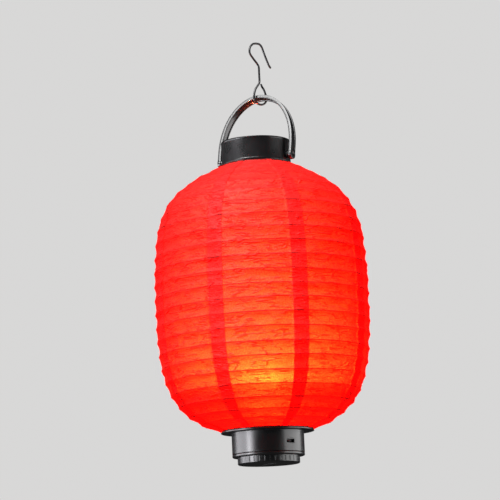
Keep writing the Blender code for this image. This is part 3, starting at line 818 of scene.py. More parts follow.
def make_creases():
    creases = []

    def count(s, per_100mm):
        radius = float(np.interp(s, EDGE_S, [edge[0].x for edge in EDGES]))
        return int(round(math.tau * radius / 100.0 * per_100mm))

    for s0, s1 in zip(EDGE_S, EDGE_S[1:]):
        middle, tall = (s0 + s1) / 2, s1 - s0
        # long shallow creases across the band
        for _ in range(count(middle, per_100mm=4.4)):
            creases.append(Crease(
                angle=uniform(0, 360),
                s=uniform(s0 + 0.16 * tall, s1 - 0.16 * tall),
                turn=math.radians(rng.normal(0, 8)),
                half_length=uniform(7, 24),
                half_width=uniform(1.4, 2.8),
                height=rng.choice([-1, 1], p=[0.62, 0.38]) * uniform(0.25, 0.85),
                bow=rng.normal(0, 0.004),
            ))
        # diagonal creases from hoop to hoop
        for _ in range(count(middle, per_100mm=3.0)):
            slant = math.radians(uniform(18, 52)) * sign()
            creases.append(Crease(
                angle=uniform(0, 360),
                s=uniform(s0 + 0.25 * tall, s1 - 0.25 * tall),
                turn=slant,
                half_length=uniform(4, 9),
                half_width=uniform(1.2, 2.1),
                height=sign() * uniform(0.25, 0.8),
                bow=rng.normal(0, 0.012),
            ))
        # short puckers at the hoops
        for _ in range(count(s0, per_100mm=4.6)):
            slant = math.radians(uniform(48, 90)) * sign()
            side = sign()
            creases.append(Crease(
                angle=uniform(0, 360),
                s=s0 + side * uniform(1.6, 3.4),
                turn=slant,
                half_length=uniform(2.2, 4.6),
                half_width=uniform(1.1, 1.8),
                height=sign() * uniform(0.12, 0.40),
                bow=0.0,
            ))
        # folded nips beside some of the seams, where the cut edge has buckled
        for k in range(PANELS):
            if rng.random() < 0.5:
                creases.append(Crease(
                    angle=SEAM_ANGLE + k * PANEL_TURN + rng.choice([-1.5, LAP + 1.5]),
                    s=uniform(s0 + 0.3 * tall, s1 - 0.2 * tall),
                    turn=math.radians(uniform(-38, 38)),
                    half_length=uniform(5, 11),
                    half_width=uniform(1.2, 2.0),
                    height=sign() * uniform(0.2, 0.5),
                    bow=rng.normal(0, 0.02),
                ))
    return creases


CREASES = make_creases()
# angle in degrees, distance along the sheet, width, height along the sheet, depth
DENTS = [
    (
        uniform(0, 360),
        uniform(10, SHEET_LENGTH - 10),
        uniform(7, 20),
        uniform(3.5, 8.0),
        rng.normal(0, 0.32),
    )
    for _ in range(150)
]


def crease_field(theta_deg, s_rows, r_rows):
    """Height of the creases in mm over rows (along the sheet) by columns (round the shade)."""
    out = np.zeros((len(s_rows), len(theta_deg)))

    def window(angle, s, reach):
        """The cells near a place, with their distances across and along the sheet."""
        away = (theta_deg - angle + 180.0) % 360.0 - 180.0
        rows = np.nonzero(np.abs(s_rows - s) < reach)[0]
        if not len(rows):
            return None
        r = r_rows[rows]
        cols = np.nonzero(np.abs(np.radians(away)) * r.max() < reach)[0]
        if not len(cols):
            return None
        du = np.radians(away[cols])[None, :] * r[:, None]
        dv = (s_rows[rows] - s)[:, None] + np.zeros_like(du)
        return np.ix_(rows, cols), du, dv

    for angle, s, slant, half, width, high, bow in CREASES:
        near = window(angle, s, half + 2 * width)
        if near is None:
            continue
        cells, du, dv = near
        along = du * math.cos(slant) + dv * math.sin(slant)
        across = -du * math.sin(slant) + dv * math.cos(slant) + bow * along * along
        taper = np.clip(1 - (along / half) ** 2, 0, 1)
        ridge = np.clip(1 - np.abs(across) / (width * (0.65 + 0.35 * taper)), 0, 1) ** 1.25 * taper
        # one side of a crease falls away further than the other
        lean = np.clip(across / (2.6 * width), -1, 1)
        lean = lean * np.exp(-((across / (2.0 * width)) ** 2)) * taper
        out[cells] += high * (ridge + 0.45 * lean)
    for angle, s, wide, tall, high in DENTS:
        near = window(angle, s, 2.4 * max(wide, tall))
        if near is None:
            continue
        cells, du, dv = near
        out[cells] += high * np.exp(-((du / wide) ** 2) - (dv / tall) ** 2)
    return out


# ---- gores ------------------------------------------------------------------
COLUMN_STEP = 0.72  # degrees
ROWS, CUFF_EXTRA_ROWS = 9, 4


def gore_columns():
    """Angles across one gore and how far each stands off the shade."""
    flat = PANEL_TURN - LAP_RAMP
    angles = list(np.linspace(0.0, flat, int(round(flat / COLUMN_STEP)) + 1))
    lift = [0.0] * len(angles)
    angles += [PANEL_TURN - 0.7 * LAP_RAMP, PANEL_TURN - 0.3 * LAP_RAMP, PANEL_TURN]
    lift += [0.16 * LAP_LIFT, 0.84 * LAP_LIFT, LAP_LIFT]
    count = int(round(LAP / COLUMN_STEP))
    angles += [PANEL_TURN + LAP * j / count for j in range(1, count + 1)]
    lift += [LAP_LIFT] * count
    return np.array(angles), np.array(lift)


def gore_rows():
    """Radius, height, normal's two parts, distance along, band and place within it, per row."""
    rows = []
    for i in range(BANDS):
        (p0, n0, s0), (p1, n1, s1) = EDGES[i : i + 2]
        count = ROWS + CUFF_EXTRA_ROWS if i == 0 else ROWS
        for j in range(count + (i == BANDS - 1)):
            t = j / count
            normal = n0.lerp(n1, t).normalized()
            rows.append((*p0.lerp(p1, t), *normal, s0 + (s1 - s0) * t, i, t))
    return np.array(rows).T.copy()


COLUMNS, COLUMN_LIFT = gore_columns()
ROW_R, ROW_Z, NORMAL_R, NORMAL_Z, ROW_S, ROW_BAND, ROW_T = gore_rows()


def gore_relief(theta_deg, theta):
    """How far the sheet stands off the shade, and how far the hoops raise it."""
    field = crease_field(theta_deg, ROW_S, ROW_R)
    # paper is held at the hoops and looser between them; a double layer creases less
    hold = 0.22 + 0.78 * np.sin(math.pi * ROW_T) ** 0.55
    hold[(ROW_BAND == 0) & (ROW_T == 0)] = 0.05
    doubled = (COLUMNS <= LAP) | (COLUMNS >= PANEL_TURN)
    field = field * hold[:, None] * np.where(doubled, 0.62, 1.0)[None, :]
    inward = np.zeros_like(field)
    rise = np.zeros_like(field)
    for i in range(BANDS):
        rows = np.nonzero(ROW_BAND == i)[0]
        t = ROW_T[rows][:, None]
        depth = pull(i, theta)[None, :] * float(np.interp(i, PULL_BANDS, PULL_SHARES))
        skewed = np.clip(t + skew(i, theta)[None, :] * 4 * t * (1 - t) * 0.5, 0, 1)
        inward[rows] = depth * (4 * skewed * (1 - skewed)) ** 0.92
        rise[rows] = hoop_rise(i, theta)[None, :] * (1 - t) + hoop_rise(i + 1, theta)[None, :] * t
    off = field - inward * (1.0 - 0.12 * doubled[None, :])
    # the wire stops the sheet from sinking any further beside a hoop
    beside = np.minimum(ROW_T, 1.0 - ROW_T)[:, None]
    off = np.maximum(off, np.where(beside < 1e-6, -0.06, np.where(beside < 0.12, -1.0, -9.0)))
    at_hoop = ROW_T < 1e-6
    off[at_hoop] = np.minimum(off[at_hoop], 0.22)
    return off + COLUMN_LIFT[None, :], rise


def quads(*corners):
    return np.stack(corners, -1).reshape(-1, 4)


def sheet_mesh(name, outer, inner, uv):
    """A thick sheet between two grids of points, with a sharp cut rim and its sheet map."""
    rows, cols = outer.shape[:2]
    size = rows * cols
    a = np.arange(size).reshape(rows, cols)
    b = a + size
    walls = np.concatenate([
        quads(a[0, :-1], b[0, :-1], b[0, 1:], a[0, 1:]),
        quads(a[-1, :-1], a[-1, 1:], b[-1, 1:], b[-1, :-1]),
        quads(a[:-1, 0], a[1:, 0], b[1:, 0], b[:-1, 0]),
        quads(a[:-1, -1], b[:-1, -1], b[1:, -1], a[1:, -1]),
    ])
    quads_out = quads(a[:-1, :-1], a[:-1, 1:], a[1:, 1:], a[1:, :-1])
    quads_in = quads(b[:-1, :-1], b[1:, :-1], b[1:, 1:], b[:-1, 1:])
    faces = np.concatenate([quads_out, walls, quads_in])
    verts = np.concatenate([outer.reshape(-1, 3), inner.reshape(-1, 3)]) * MM

    mesh = bpy.data.meshes.new(name)
    mesh.vertices.add(len(verts))
    mesh.vertices.foreach_set("co", verts.astype(np.float32).ravel())
    mesh.loops.add(faces.size)
    mesh.loops.foreach_set("vertex_index", faces.astype(np.int32).ravel())
    mesh.polygons.add(len(faces))
    mesh.polygons.foreach_set("loop_start", np.arange(0, faces.size, 4, dtype=np.int32))
    mesh.polygons.foreach_set("loop_total", np.full(len(faces), 4, dtype=np.int32))
    material = np.zeros(len(faces), np.int32)
    material[-len(quads_in) :] = 1
    mesh.polygons.foreach_set("material_index", material)
    mesh.update(calc_edges=True)
    mesh.validate()

    layer = mesh.uv_layers.new(name="sheet")
    uv = np.concatenate([uv, uv])
    layer.data.foreach_set("uv", uv[faces.ravel()].astype(np.float32).ravel())
    mesh.shade_smooth()
    sharp = mesh.attributes.new("sharp_edge", "BOOLEAN", "EDGE")
    ends = np.zeros(len(mesh.edges) * 2, np.int32)
    mesh.edges.foreach_get("vertices", ends)
    start, end = ends.reshape(-1, 2).T
    rim = np.zeros(len(verts), bool)
    rim[walls.ravel()] = True
    same_side = (start < size) == (end < size)
    sharp.data.foreach_set("value", rim[start] & rim[end] & same_side)
    return mesh


def gore(k):
    name = f"paper_gore_{k + 1}"
    first = SEAM_ANGLE + k * PANEL_TURN
    theta_deg = first + COLUMNS
    theta = np.radians(theta_deg)
    off, rise = gore_relief(theta_deg, theta)
    r = ROW_R[:, None] + NORMAL_R[:, None] * off
    z = ROW_Z[:, None] + NORMAL_Z[:, None] * off + rise
    outer = np.stack([r * np.cos(theta)[None, :], r * np.sin(theta)[None, :], z], -1)
    # surface normals of the displaced sheet give the inner face an even thickness
    normals = np.cross(np.gradient(outer, axis=1), np.gradient(outer, axis=0))
    normals /= np.linalg.norm(normals, axis=-1, keepdims=True)
    # sheet map in centimetres: across from the gore's middle, and up along it
    middle = math.radians(first + (PANEL_TURN + LAP) / 2)
    u = (theta - middle)[None, :] * ROW_R[:, None] / 10.0 + 30.0 * k
    v = np.repeat(ROW_S[:, None] / 10.0, len(theta), axis=1)
    uv = np.stack([u, v], -1).reshape(-1, 2)
    o = link(name, sheet_mesh(name, outer, outer - normals * PAPER_THICK, uv))
    o.data.materials.append(LOOKS["paper"])
    o.data.materials.append(LOOKS["paper_in"])
    assign(o, "top", "paper", f"paper_panel_{k + 1}")
    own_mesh(o)
    return o


SHEETS = [gore(k) for k in range(PANELS)]


# ---- wire hoops -------------------------------------------------------------
def hoop(name, radius, height, index, body, node):
    """A closed wire ring. The end hoops have no index and lie flat."""
    theta = np.linspace(0, math.tau, 144, endpoint=False)
    up = np.zeros(len(theta)) if index is None else hoop_rise(index, theta)
    pts = [(radius * math.cos(t), radius * math.sin(t), height + z) for t, z in zip(theta, up)]
    bm = tube_bm(pts, WIRE_R, 8, (0, 0, 1), closed=True)
    o = place(made(name, bm, 60.0, False), body, "rib_wire", node)
    # the paper's look paints the wire's shadow as a line over each hoop, so the wire itself casts
    # none
    o.visible_shadow = False
    o.visible_diffuse = False
    o.visible_transmission = False


for i, (p, n, _s) in enumerate(EDGES[1:-1], 1):
    rib = f"rib_{i:02d}"
    hoop(f"wire_hoop_{i:02d}", p.x - n.x * HOOP_OFFSET, p.y - n.y * HOOP_OFFSET, i, rib, rib)
hoop(
    "wire_hoop_bottom", SHADE_BOTTOM_R - 1.3, SHADE_BOTTOM_Z + 0.3, None, "base", "end_hoop_bottom"
)
hoop("wire_hoop_top", SKIRT_R + 0.3 + 0.6, SHADE_TOP_Z - 0.5, None, "top", "end_hoop_top")


# ---- collar -----------------------------------------------------------------
def collar():
    profile = [
        (COLLAR_R - 0.15, 309.6), (COLLAR_IN + 0.15, 309.6), (COLLAR_IN, 309.2),
        (COLLAR_IN, 289.2), (SKIRT_IN, 287.9), (SKIRT_IN, 281.4),
        (SKIRT_R, 281.4), (SKIRT_R, 287.0), (COLLAR_R, 287.0),
        (COLLAR_R, 288.6), (COLLAR_R - 0.12, 288.9), (COLLAR_R - 0.12, 307.9),
        (COLLAR_R + 0.04, 308.2), (COLLAR_R + 0.04, 309.3),
    ]
    shell = lathe("collar_shell", profile, fillet=0.28, sides=160)
    hole_r, half = 2.45, 40.0
    hole = [(0, -half), (hole_r, -half), (hole_r, half), (0, half)]
    peg_hole = lathe("peg_hole", hole, fillet=0.0, sides=40)
    peg_hole.data.transform(move(z=PEG_Z) @ turn(90, "Y"))
    apply_boolean(shell, peg_hole)
    place(reshade(shell), "top", "black_gloss", "top_collar")

    ring = [(31.8, 284.6), (31.8, 282.6), (36.0, 282.6), (36.0, 283.4), (34.6, 284.6)]
    place(lathe("collar_ring", ring, fillet=0.2), "top", "black_matte", "collar_clamp_ring")


collar()


# ---- bail -------------------------------------------------------------------
def bail_path(steps=120):
    """(point, normal) along the strap, in (x, height over the pegs)."""
    leg = 10.0
    leg_heights = (0.0, 3.3, 6.6, 9.2)
    points = [(BAIL_HALF_SPAN, z) for z in leg_heights]
    for i in range(1, steps):
        a = math.pi * i / steps
        z = leg + (BAIL_HEIGHT - leg) * math.sin(a) ** 0.94
        points.append((BAIL_HALF_SPAN * math.cos(a), z))
    points += [(-BAIL_HALF_SPAN, z) for z in reversed(leg_heights)]
    points = [Vector(p) for p in points]
    out = []
    for before, point, after in zip(points[:1] + points, points, points[1:] + points[-1:]):
        tangent = (after - before).normalized()
        out.append((point, Vector((tangent.y, -tangent.x))))
    return out


def bail():
    w, h, rim, web = BAIL_WIDTH / 2, BAIL_THICK / 2, 1.3, 0.6
    slope = 0.3
    # across the strap and through it: thick rims on both edges of a thinner web
    section = [
        (-w, -h), (-w + rim, -h), (-w + rim + slope, -web),
        (w - rim - slope, -web), (w - rim, -h), (w, -h),
        (w, h), (w - rim, h), (w - rim - slope, web),
        (-w + rim + slope, web), (-w + rim, h), (-w, h),
    ]
    section = rounded(section, 0.42, 3)
    bm = bmesh.new()
    rings = [
        [bm.verts.new((p.x + n.x * out, y, p.y + n.y * out)) for y, out in section]
        for p, n in bail_path()
    ]
    for a, b in zip(rings, rings[1:]):
        for i in range(len(section)):
            j = (i + 1) % len(section)
            bm.faces.new((a[i], a[j], b[j], b[i]))
    bm.faces.new(list(reversed(rings[0])))
    bm.faces.new(rings[-1])
    strap = made("bail_strap", bm)
    # eye and peg: radius about the peg's axis, distance out from the lantern's axis
    outer, inner = BAIL_HALF_SPAN + h + 0.15, BAIL_HALF_SPAN - h - 0.15
    profile = [
        (0.0, outer - 0.5), (1.7, outer - 0.5), (2.1, outer), (4.5, outer), (4.9, outer - 0.4),
        (4.9, inner), (3.7, inner), (3.7, 33.5), (2.2, 33.5), (2.2, 30.95), (3.1, 30.95),
        (2.2, 29.2), (0.0, 29.2),
    ]
    for side in (1, -1):
        eye = lathe("bail_eye", profile, fillet=0.25, sides=56, steps=3)
        eye.data.transform(turn(90.0 * side, "Y"))
        apply_boolean(strap, eye, "UNION")
    strap.data.transform(move(z=PEG_Z) @ turn(-BAIL_LEAN, "X"))
    place(reshade(strap), "bail", "black_gloss", "bail_handle")


bail()


# ---- hook -------------------------------------------------------------------
def hook_path():
    """(across, height over the strap's top): a closed eye, a shank and an open hook."""
    eye_w, eye_drop, eye_top, saddle, bend = 7.6, 6.2, 13.0, 54.4, 8.5
    points = [(1.9, eye_top + 0.7)]
    for i in range(19):
        a = math.radians(64.0 - 308.0 * i / 18.0)
        up = math.sin(a)
        across = eye_w * math.cos(a) * (1.0 - 0.12 * max(0.0, up))
        points.append((across, (eye_top if up > 0 else eye_drop) * up))
    points += [(-0.9, eye_top + 1.3), (0.0, eye_top + 3.8), (0.05, 22.0), (0.0, 26.0)]
    points += [(0.0, 30.2), (-0.7, 32.6), (-2.6, 35.0), (-5.6, 38.0), (-8.6, 41.2)]
    for i in range(7):
        a = math.radians(196.0 - 84.0 * i / 6)
        points.append((-2.2 + bend * math.cos(a), saddle - bend + bend * math.sin(a)))
    points += [(-2.6, saddle), (-0.8, saddle), (1.0, saddle), (3.1, saddle - 1.0)]
    points += [(4.7, saddle - 3.0), (5.9, 48.6), (7.4, 45.0), (9.0, 41.4), (10.9, 37.4)]
    return points + [(12.4, 34.4), (14.2, 32.2)]


def hook():
    lean, yaw = math.radians(BAIL_LEAN), math.radians(HOOK_YAW)
    strap_y, strap_z = BAIL_HEIGHT * math.sin(lean), PEG_Z + BAIL_HEIGHT * math.cos(lean)
    strap_top = Vector((0.0, strap_y, strap_z))
    sine, cosine = math.sin(yaw), math.cos(yaw)
    points = [strap_top + Vector((sine * a, cosine * a, z)) for a, z in smooth_path(hook_path())]
    wire = tube_bm(points, HOOK_WIRE_R, 18, (cosine, -sine, 0.0))
    place(made("hook_wire", wire, 60.0), "hook", "hook_wire", "hanging_hook")


hook()


# ---- base housing -----------------------------------------------------------
def housing():
    profile = [
        (4.0, DECK_TOP_Z), (4.0, DECK_LOW_Z), (BASE_IN, DECK_LOW_Z), (BASE_IN, BASE_BOTTOM_Z),
        (BASE_R - 0.1, BASE_BOTTOM_Z), (BASE_R, BASE_BOTTOM_Z + 0.3), (BASE_R, 28.6),
        (BASE_R + 0.25, 30.0), (FLANGE_R, 30.0), (FLANGE_R, DECK_TOP_Z),
    ]
    shell = lathe("base_shell", profile, sides=176)
    boss_z, boss_top = 25.0, DECK_LOW_Z + 0.5
    outline = [(1.0, boss_z), (2.6, boss_z), (2.6, boss_top), (1.0, boss_top)]
    for i, x in enumerate((-21.4, 21.4)):
        boss = made(f"boss_{i}", turned_bm(outline, 32, about=(x, 0.0)))
        boss.data.transform(PACK)
        apply_boolean(shell, boss, "UNION")
    low, high = (29.0, -4.6, SWITCH_Z - 1.8), (38.0, 4.6, SWITCH_Z + 1.8)
    apply_boolean(shell, made("slot_cut", box_bm(low, high, turn_z=PACK_TURN)))
    # thumb recess round the switch's slot
    dish = [(0.0, 33.75), (6.6, 33.75), (8.2, 36.0), (0.0, 36.0)]
    recess = lathe("recess", dish, fillet=0.0, sides=48)
    flatten = Matrix.Diagonal((1.0, 1.0, 0.42, 1.0))
    recess.data.transform(PACK @ move(z=SWITCH_Z) @ flatten @ turn(90, "Y"))
    apply_boolean(shell, recess)
    place(reshade(shell), "base", "black_gloss", "base_housing")

    ring = [(36.4, 31.5), (41.7, 31.5), (41.7, 33.2), (43.2, 33.5), (43.0, 34.1), (36.4, 34.1)]
    place(lathe("base_ring", ring, fillet=0.2), "base", "black_matte", "base_clamp_ring")


housing()


# ---- battery cover and foot -------------------------------------------------
def battery_cover():
    spigot = BASE_IN - 0.35
    profile = [
        (0.0, 0.0), (FOOT_R - 6.0, 0.0), (FOOT_R - 5.2, 0.5), (FOOT_R - 3.4, 0.5),
        (FOOT_R - 2.6, 0.0), (FOOT_R - 0.7, 0.0), (FOOT_R, 0.7), (FOOT_R, FOOT_H - 0.2),
        (BASE_R - 0.5, FOOT_H), (BASE_R, FOOT_H + 0.5), (BASE_R, RIM_TOP - 0.25),
        (BASE_R - 0.25, RIM_TOP), (spigot, RIM_TOP), (spigot, 13.6), (BASE_IN - 1.75, 13.6),
        (BASE_IN - 1.75, 8.4), (FOOT_R - 1.8, 8.4), (FOOT_R - 1.8, 1.8), (0.0, 1.8),
    ]
    cover = lathe("cover_shell", profile, sides=176)
    coin = box_bm((-10.0, -1.3, -1.0), (10.0, 1.3, 1.1), 0.35, 3, turn_z=PACK_TURN)
    apply_boolean(cover, made("coin", coin))
    # finger grooves round the foot, for turning the cover
    grooves, count = bmesh.new(), 36
    outline = [(0.0, 1.4), (0.62, 1.4), (0.62, 5.9), (0.0, 6.3)]
    for j in range(count):
        before = len(grooves.verts)
        turned_bm(outline, 10, grooves, about=(FOOT_R + 0.28, 0.0))
        rotate_z(grooves, list(grooves.verts)[before:], 360.0 * j / count)
    apply_boolean(cover, made("grooves", grooves))
    place(reshade(cover, 32.0), "battery_cover", "black_gloss", "battery_cover")


battery_cover()


# ---- switch -----------------------------------------------------------------
def switch_knob():
    low, high = (27.7, -3.4, SWITCH_Z - 1.0), (34.4, 0.2, SWITCH_Z + 1.0)
    knob = made("slide_knob", box_bm(low, high, 0.28))
    for j in range(4):
        y = -2.8 + 0.8 * j
        low, high = (34.0, y - 0.22, SWITCH_Z - 0.9), (35.0, y + 0.22, SWITCH_Z + 0.9)
        apply_boolean(knob, made("ridge", box_bm(low, high, 0.12)), "UNION")
    knob.data.transform(PACK)
    place(reshade(knob), "switch_knob", "black_matte", "switch_knob")


switch_knob()


# ---- lamp and its post ------------------------------------------------------
def lamp():
    post = [(3.3, 31.5), (9.0, 31.5), (9.0, 33.0), (6.4, 33.8), (5.2, 48.0), (3.3, 48.0)]
    post = lathe("lamp_post", post, fillet=0.35, sides=64)
    place(post, "base", "black_matte", "lamp_socket")
    radius, dome_z = 2.5, 53.4
    dome = [(0.0, 47.0), (2.95, 47.0), (2.95, 48.4), (radius, 48.4), (radius, dome_z)]
    for a in map(math.radians, range(10, 90, 10)):
        dome.append((radius * math.cos(a), dome_z + radius * math.sin(a)))
    dome += [(0.0, dome_z + radius)]
    led = made("led_dome", turned_bm(dome, 48), 50.0)
    for x in (-1.27, 1.27):
        low, high = (x - 0.25, -0.25, 25.4), (x + 0.25, 0.25, 47.5)
        pin = made("pin", box_bm(low, high, 0.06, 1, turn_z=PACK_TURN))
        apply_boolean(led, pin, "UNION")
    place(reshade(led, 50.0), "base", "lamp", "led_lamp")


lamp()

# ---- cells, springs and leads -----------------------------------------------
HALF_CELL = CELL_LENGTH / 2
# radius and distance along the cell, from its flat end to its nipple
CELL_PROFILE = [
    (0.0, -HALF_CELL + 0.25), (3.2, -HALF_CELL + 0.25), (3.5, -HALF_CELL),
    (CELL_R - 0.35, -HALF_CELL), (CELL_R, -HALF_CELL + 0.35), (CELL_R, HALF_CELL - 0.5),
    (CELL_R - 0.5, HALF_CELL), (3.9, HALF_CELL - 0.05), (3.7, HALF_CELL - 0.3),
    (2.2, HALF_CELL - 0.3), (1.9, HALF_CELL), (1.9, HALF_CELL + 1.0), (0.0, HALF_CELL + 1.0),
]


def cell(number, x, toward):
    """A cell with its positive end towards +Y of the pack, or -Y where toward is -1."""
    o = lathe(f"cell_{number}", CELL_PROFILE, fillet=0.18, sides=56, steps=3)
    o.data.materials.append(LOOKS["cell_sleeve"])
    o.data.materials.append(LOOKS["contact_steel"])
    for poly in o.data.polygons:
        if math.hypot(poly.center.x, poly.center.y) < 3.75 * MM:
            poly.material_index = 1
    o.data.transform(PACK @ move(x, CELL_SHIFT * toward, CELL_Z) @ turn(-90.0 * toward, "X"))
    assign(o, "base", "cell_sleeve", f"battery_{number}")


def spring(number, x, toward):
    """A conical spring from a cell's flat end to the end of the bay."""
    turns, coil_r, flare, steps = 2.5, 2.6, 0.9, 80
    start_y, end_y = -(HALF_CELL - CELL_SHIFT) - 0.35, -(BAY_END - 0.95)
    coil = []
    for j in range(steps + 1):
        a = math.tau * turns * j / steps
        r = coil_r + flare * j / steps
        coil.append((r * math.cos(a), start_y + (end_y - start_y) * j / steps, r * math.sin(a)))
    o = made(f"spring_{number}", tube_bm(coil, 0.28, 8, (1, 0, 0)), 60.0)
    o.data.transform(PACK @ move(x, 0, CELL_Z) @ turn(180.0 if toward < 0 else 0.0, "Z"))
    place(o, "base", "contact_steel", f"contact_spring_{number}")


for number, toward in ((1, 1.0), (2, -1.0), (3, 1.0)):
    for build in (cell, spring):
        build(number, (number - 2) * CELL_PITCH, toward)

LEAD_PATH = [
    (CELL_PITCH - 0.6, BAY_END - 0.2 - 1.2, 25.3), (CELL_PITCH - 0.8, 20.5, 26.4),
    (8.6, 17.0, 28.0), (6.0, 13.2, 28.5), (5.0, 10.6, 28.2), (4.9, 9.2, 27.8),
]
for side, name in ((1.0, "lead_red"), (-1.0, "lead_black")):
    pts = [Vector((side * x, side * y, z)) for x, y, z in smooth_path(LEAD_PATH)]
    wire = made(f"insulated_{name}", tube_bm(pts, 0.55, 12, (0, 0, 1)), 60.0)
    wire.data.transform(PACK)
    place(wire, "base", name, name)

# ---- frame nodes that keep their own shape ----------------------------------
KEPT = {
    "battery_cradle": "black_matte",
    "contact_bridge_a": "contact_steel",
    "contact_bridge_b": "contact_steel",
    "terminal_positive": "contact_steel",
    "terminal_negative": "contact_steel",
    "circuit_board": "board",
    "switch_body": "switch_can",
    "cradle_screw_1": "contact_steel",
    "cradle_screw_2": "contact_steel",
}
for name, slot_name in KEPT.items():
    o = frame["nodes"][name]
    o.data.materials.clear()
    o.data.materials.append(LOOKS[slot_name])
    bevel = o.modifiers.new("edges", "BEVEL")
    bevel.width = 0.00012
    bevel.segments = 2
    bevel.limit_method = "ANGLE"
    bevel.angle_limit = math.radians(40)

# ---- lamp's light, in metres and watts --------------------------------------
LAMP_POWER = 4.1
RETURN_RED = (1.0, 0.035, 0.02)


def lamp_light(name, kind, share, height, colour, body="base"):
    """A light on the axis with a share of the lamp's power."""
    data = bpy.data.lights.new(name, kind)
    data.energy = share * LAMP_POWER
    data.color = colour
    data.shadow_soft_size = 0.0022 if kind == "SPOT" else 0.004
    if kind == "SPOT":
        data.spot_size = math.radians(175.5)
        data.spot_blend = 0.16
    o = link(name, data)
    o.visible_camera = False
    o.parent = frame["bodies"][body]
    o.location = (0, 0, height)
    o.rotation_euler = (math.pi, 0, 0)


lamp_light("lamp_beam", "SPOT", share=1.0, height=0.0555, colour=(1.0, 0.60, 0.24))
# light that leaves the dome sideways and down
lamp_light("lamp_spill", "POINT", share=0.065, height=0.0570, colour=(1.0, 0.55, 0.20))
# what the red walls send back; the first stays half way up the shade when it folds
lamp_light("lamp_return", "POINT", share=0.24, height=0.1850, colour=RETURN_RED, body="rib_11")
lamp_light("lamp_return_low", "POINT", share=0.12, height=0.0760, colour=RETURN_RED)

# ---- stage, in metres: floor, backdrop tone, soft lights --------------------
CAMERA_AZIMUTH = 28.0  # degrees from -Y towards +X
BACKDROP = (0.80, 0.795, 0.79)
FLOOR_Z, FLOOR_SIDES = -0.55, 72
FLOOR_RINGS = (0.3, 0.7, 1.5, 3.0, 6.0, 12.0, 30.0)


def heading(azimuth):
    a = math.radians(azimuth)
    return Vector((math.sin(a), -math.cos(a), 0.0))


def soft_light(name, azimuth, height, distance, wide, tall, power, aim_z=0.2, colour=(1, 1, 1)):
    """An area light, its azimuth counted from the camera's, aimed at the lantern's axis."""
    data = bpy.data.lights.new(name, "AREA")
    data.shape = "RECTANGLE"
    data.size, data.size_y = wide, tall
    data.energy = power
    data.color = colour
    o = link(name, data)
    o.location = heading(CAMERA_AZIMUTH + azimuth) * distance + Vector((0, 0, height))
    o.rotation_mode = "QUATERNION"
    o.rotation_quaternion = (Vector((0, 0, aim_z)) - o.location).to_track_quat("-Z", "Y")
    o.visible_camera = False
    return o


def floor_look():
    look = Look("floor_paint")
    cloud = look.noise(look.coords(), scale=2.2, detail=4.0, rough=0.55)
    fine = look.noise(look.coords(), scale=160.0)
    paint = look.blend(look.ramp(cloud), (0.46, 0.457, 0.452), (0.49, 0.487, 0.481))
    # darker to every ray but the camera's, so that it sends little light up
    camera_ray = look.put("LightPath", output="Is Camera Ray")
    shader = look.principled(
        look.blend(camera_ray, (0.10, 0.10, 0.10), paint),
        rough=0.7,
        normal=look.bump(fine, distance=0.0003, strength=0.2),
        Emission_Color=BACKDROP,
        Emission_Strength=look.times(camera_ray, 0.76),
    )
    return look.done(shader)


def floor():
    bm = bmesh.new()
    centre, inner = bm.verts.new((0, 0, FLOOR_Z)), None
    for r in FLOOR_RINGS:
        angles = [math.tau * k / FLOOR_SIDES for k in range(FLOOR_SIDES)]
        ring = [bm.verts.new((r * math.cos(a), r * math.sin(a), FLOOR_Z)) for a in angles]
        for k in range(FLOOR_SIDES):
            m = (k + 1) % FLOOR_SIDES
            if inner is None:
                bm.faces.new((centre, ring[k], ring[m]))
            else:
                bm.faces.new((inner[k], ring[k], ring[m], inner[m]))
        inner = ring
    mesh = bpy.data.meshes.new("studio_floor")
    bm.to_mesh(mesh)
    bm.free()
    o = link("studio_floor", mesh)
    mesh.materials.append(floor_look())
    return o


FLOOR = floor()

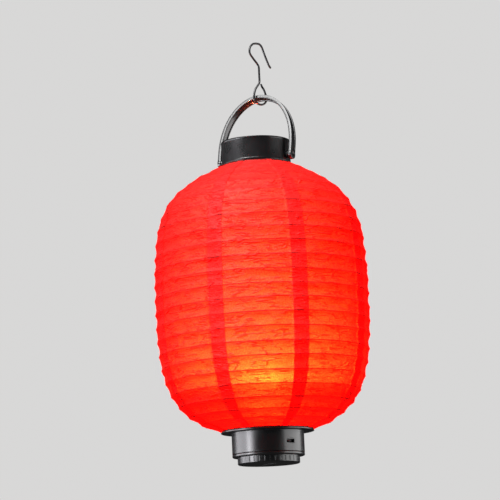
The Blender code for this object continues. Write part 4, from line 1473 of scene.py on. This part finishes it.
STRIP = {"height": 0.0, "tall": 0.72, "aim_z": 0.05}
COOL = (0.96, 0.95, 1.0)
strips = [
    soft_light("strip_left", -84.0, distance=1.25, wide=1.9, power=17.0, colour=COOL, **STRIP),
    soft_light("strip_left_core", -62.0, distance=1.3, wide=0.30, power=5.0, colour=COOL, **STRIP),
    soft_light("strip_right", 88.0, distance=1.25, wide=1.8, power=10.5, **STRIP),
]
# the strips draw the highlights of the black ends; the paper and floor are left out of them
left_out = bpy.data.collections.new("paper_left_out")
for o in SHEETS + [FLOOR]:
    left_out.objects.link(o)
for light in strips:
    light.light_linking.receiver_collection = left_out
for member in left_out.collection_objects:
    member.light_linking.link_state = "EXCLUDE"
soft_light(
    "overhead", -24.0, height=1.7, distance=0.9, wide=1.1, tall=1.1, power=25.0, aim_z=0.15
)
soft_light("key", -50.0, height=1.6, distance=1.5, wide=0.9, tall=0.9, power=26.0)


def backdrop():
    """One tone for the camera and a faint cool light for everything else."""
    look = Look("studio", "World")
    seen = look.put("Background", {"Color": BACKDROP, "Strength": 0.86})
    around = look.put("Background", {"Color": (0.95, 0.96, 1.0), "Strength": 0.055})
    camera_ray = look.put("LightPath", output="Is Camera Ray")
    bpy.context.scene.world = look.done(look.mix(camera_ray, around, seen))


backdrop()

# ---- camera -----------------------------------------------------------------
CAM_ELEVATION, CAM_DISTANCE, CAM_ROLL, CAM_LENS = -9.5, 2.4, 2.4, 181.0
CAM_AIM = (-0.0095, 0.205)  # across the view from the lantern's axis, and height


def camera():
    data = bpy.data.cameras.new("studio_camera")
    data.sensor_width = 36.0
    data.lens = CAM_LENS
    data.clip_start, data.clip_end = 0.05, 200.0
    o = link("studio_camera", data)
    rise, a = math.radians(CAM_ELEVATION), math.radians(CAMERA_AZIMUTH)
    back = heading(CAMERA_AZIMUTH) * math.cos(rise) + Vector((0, 0, math.sin(rise)))
    right = Vector((math.cos(a), math.sin(a), 0.0))
    o.location = right * CAM_AIM[0] + Vector((0, 0, CAM_AIM[1])) + back * CAM_DISTANCE
    o.rotation_mode = "QUATERNION"
    roll = Matrix.Rotation(math.radians(-CAM_ROLL), 3, "Z").to_quaternion()
    o.rotation_quaternion = (-back).to_track_quat("-Z", "Y") @ roll
    bpy.context.scene.camera = o


camera()
bpy.context.scene.view_settings.view_transform = "Standard"
bpy.context.scene.view_settings.look = "None"
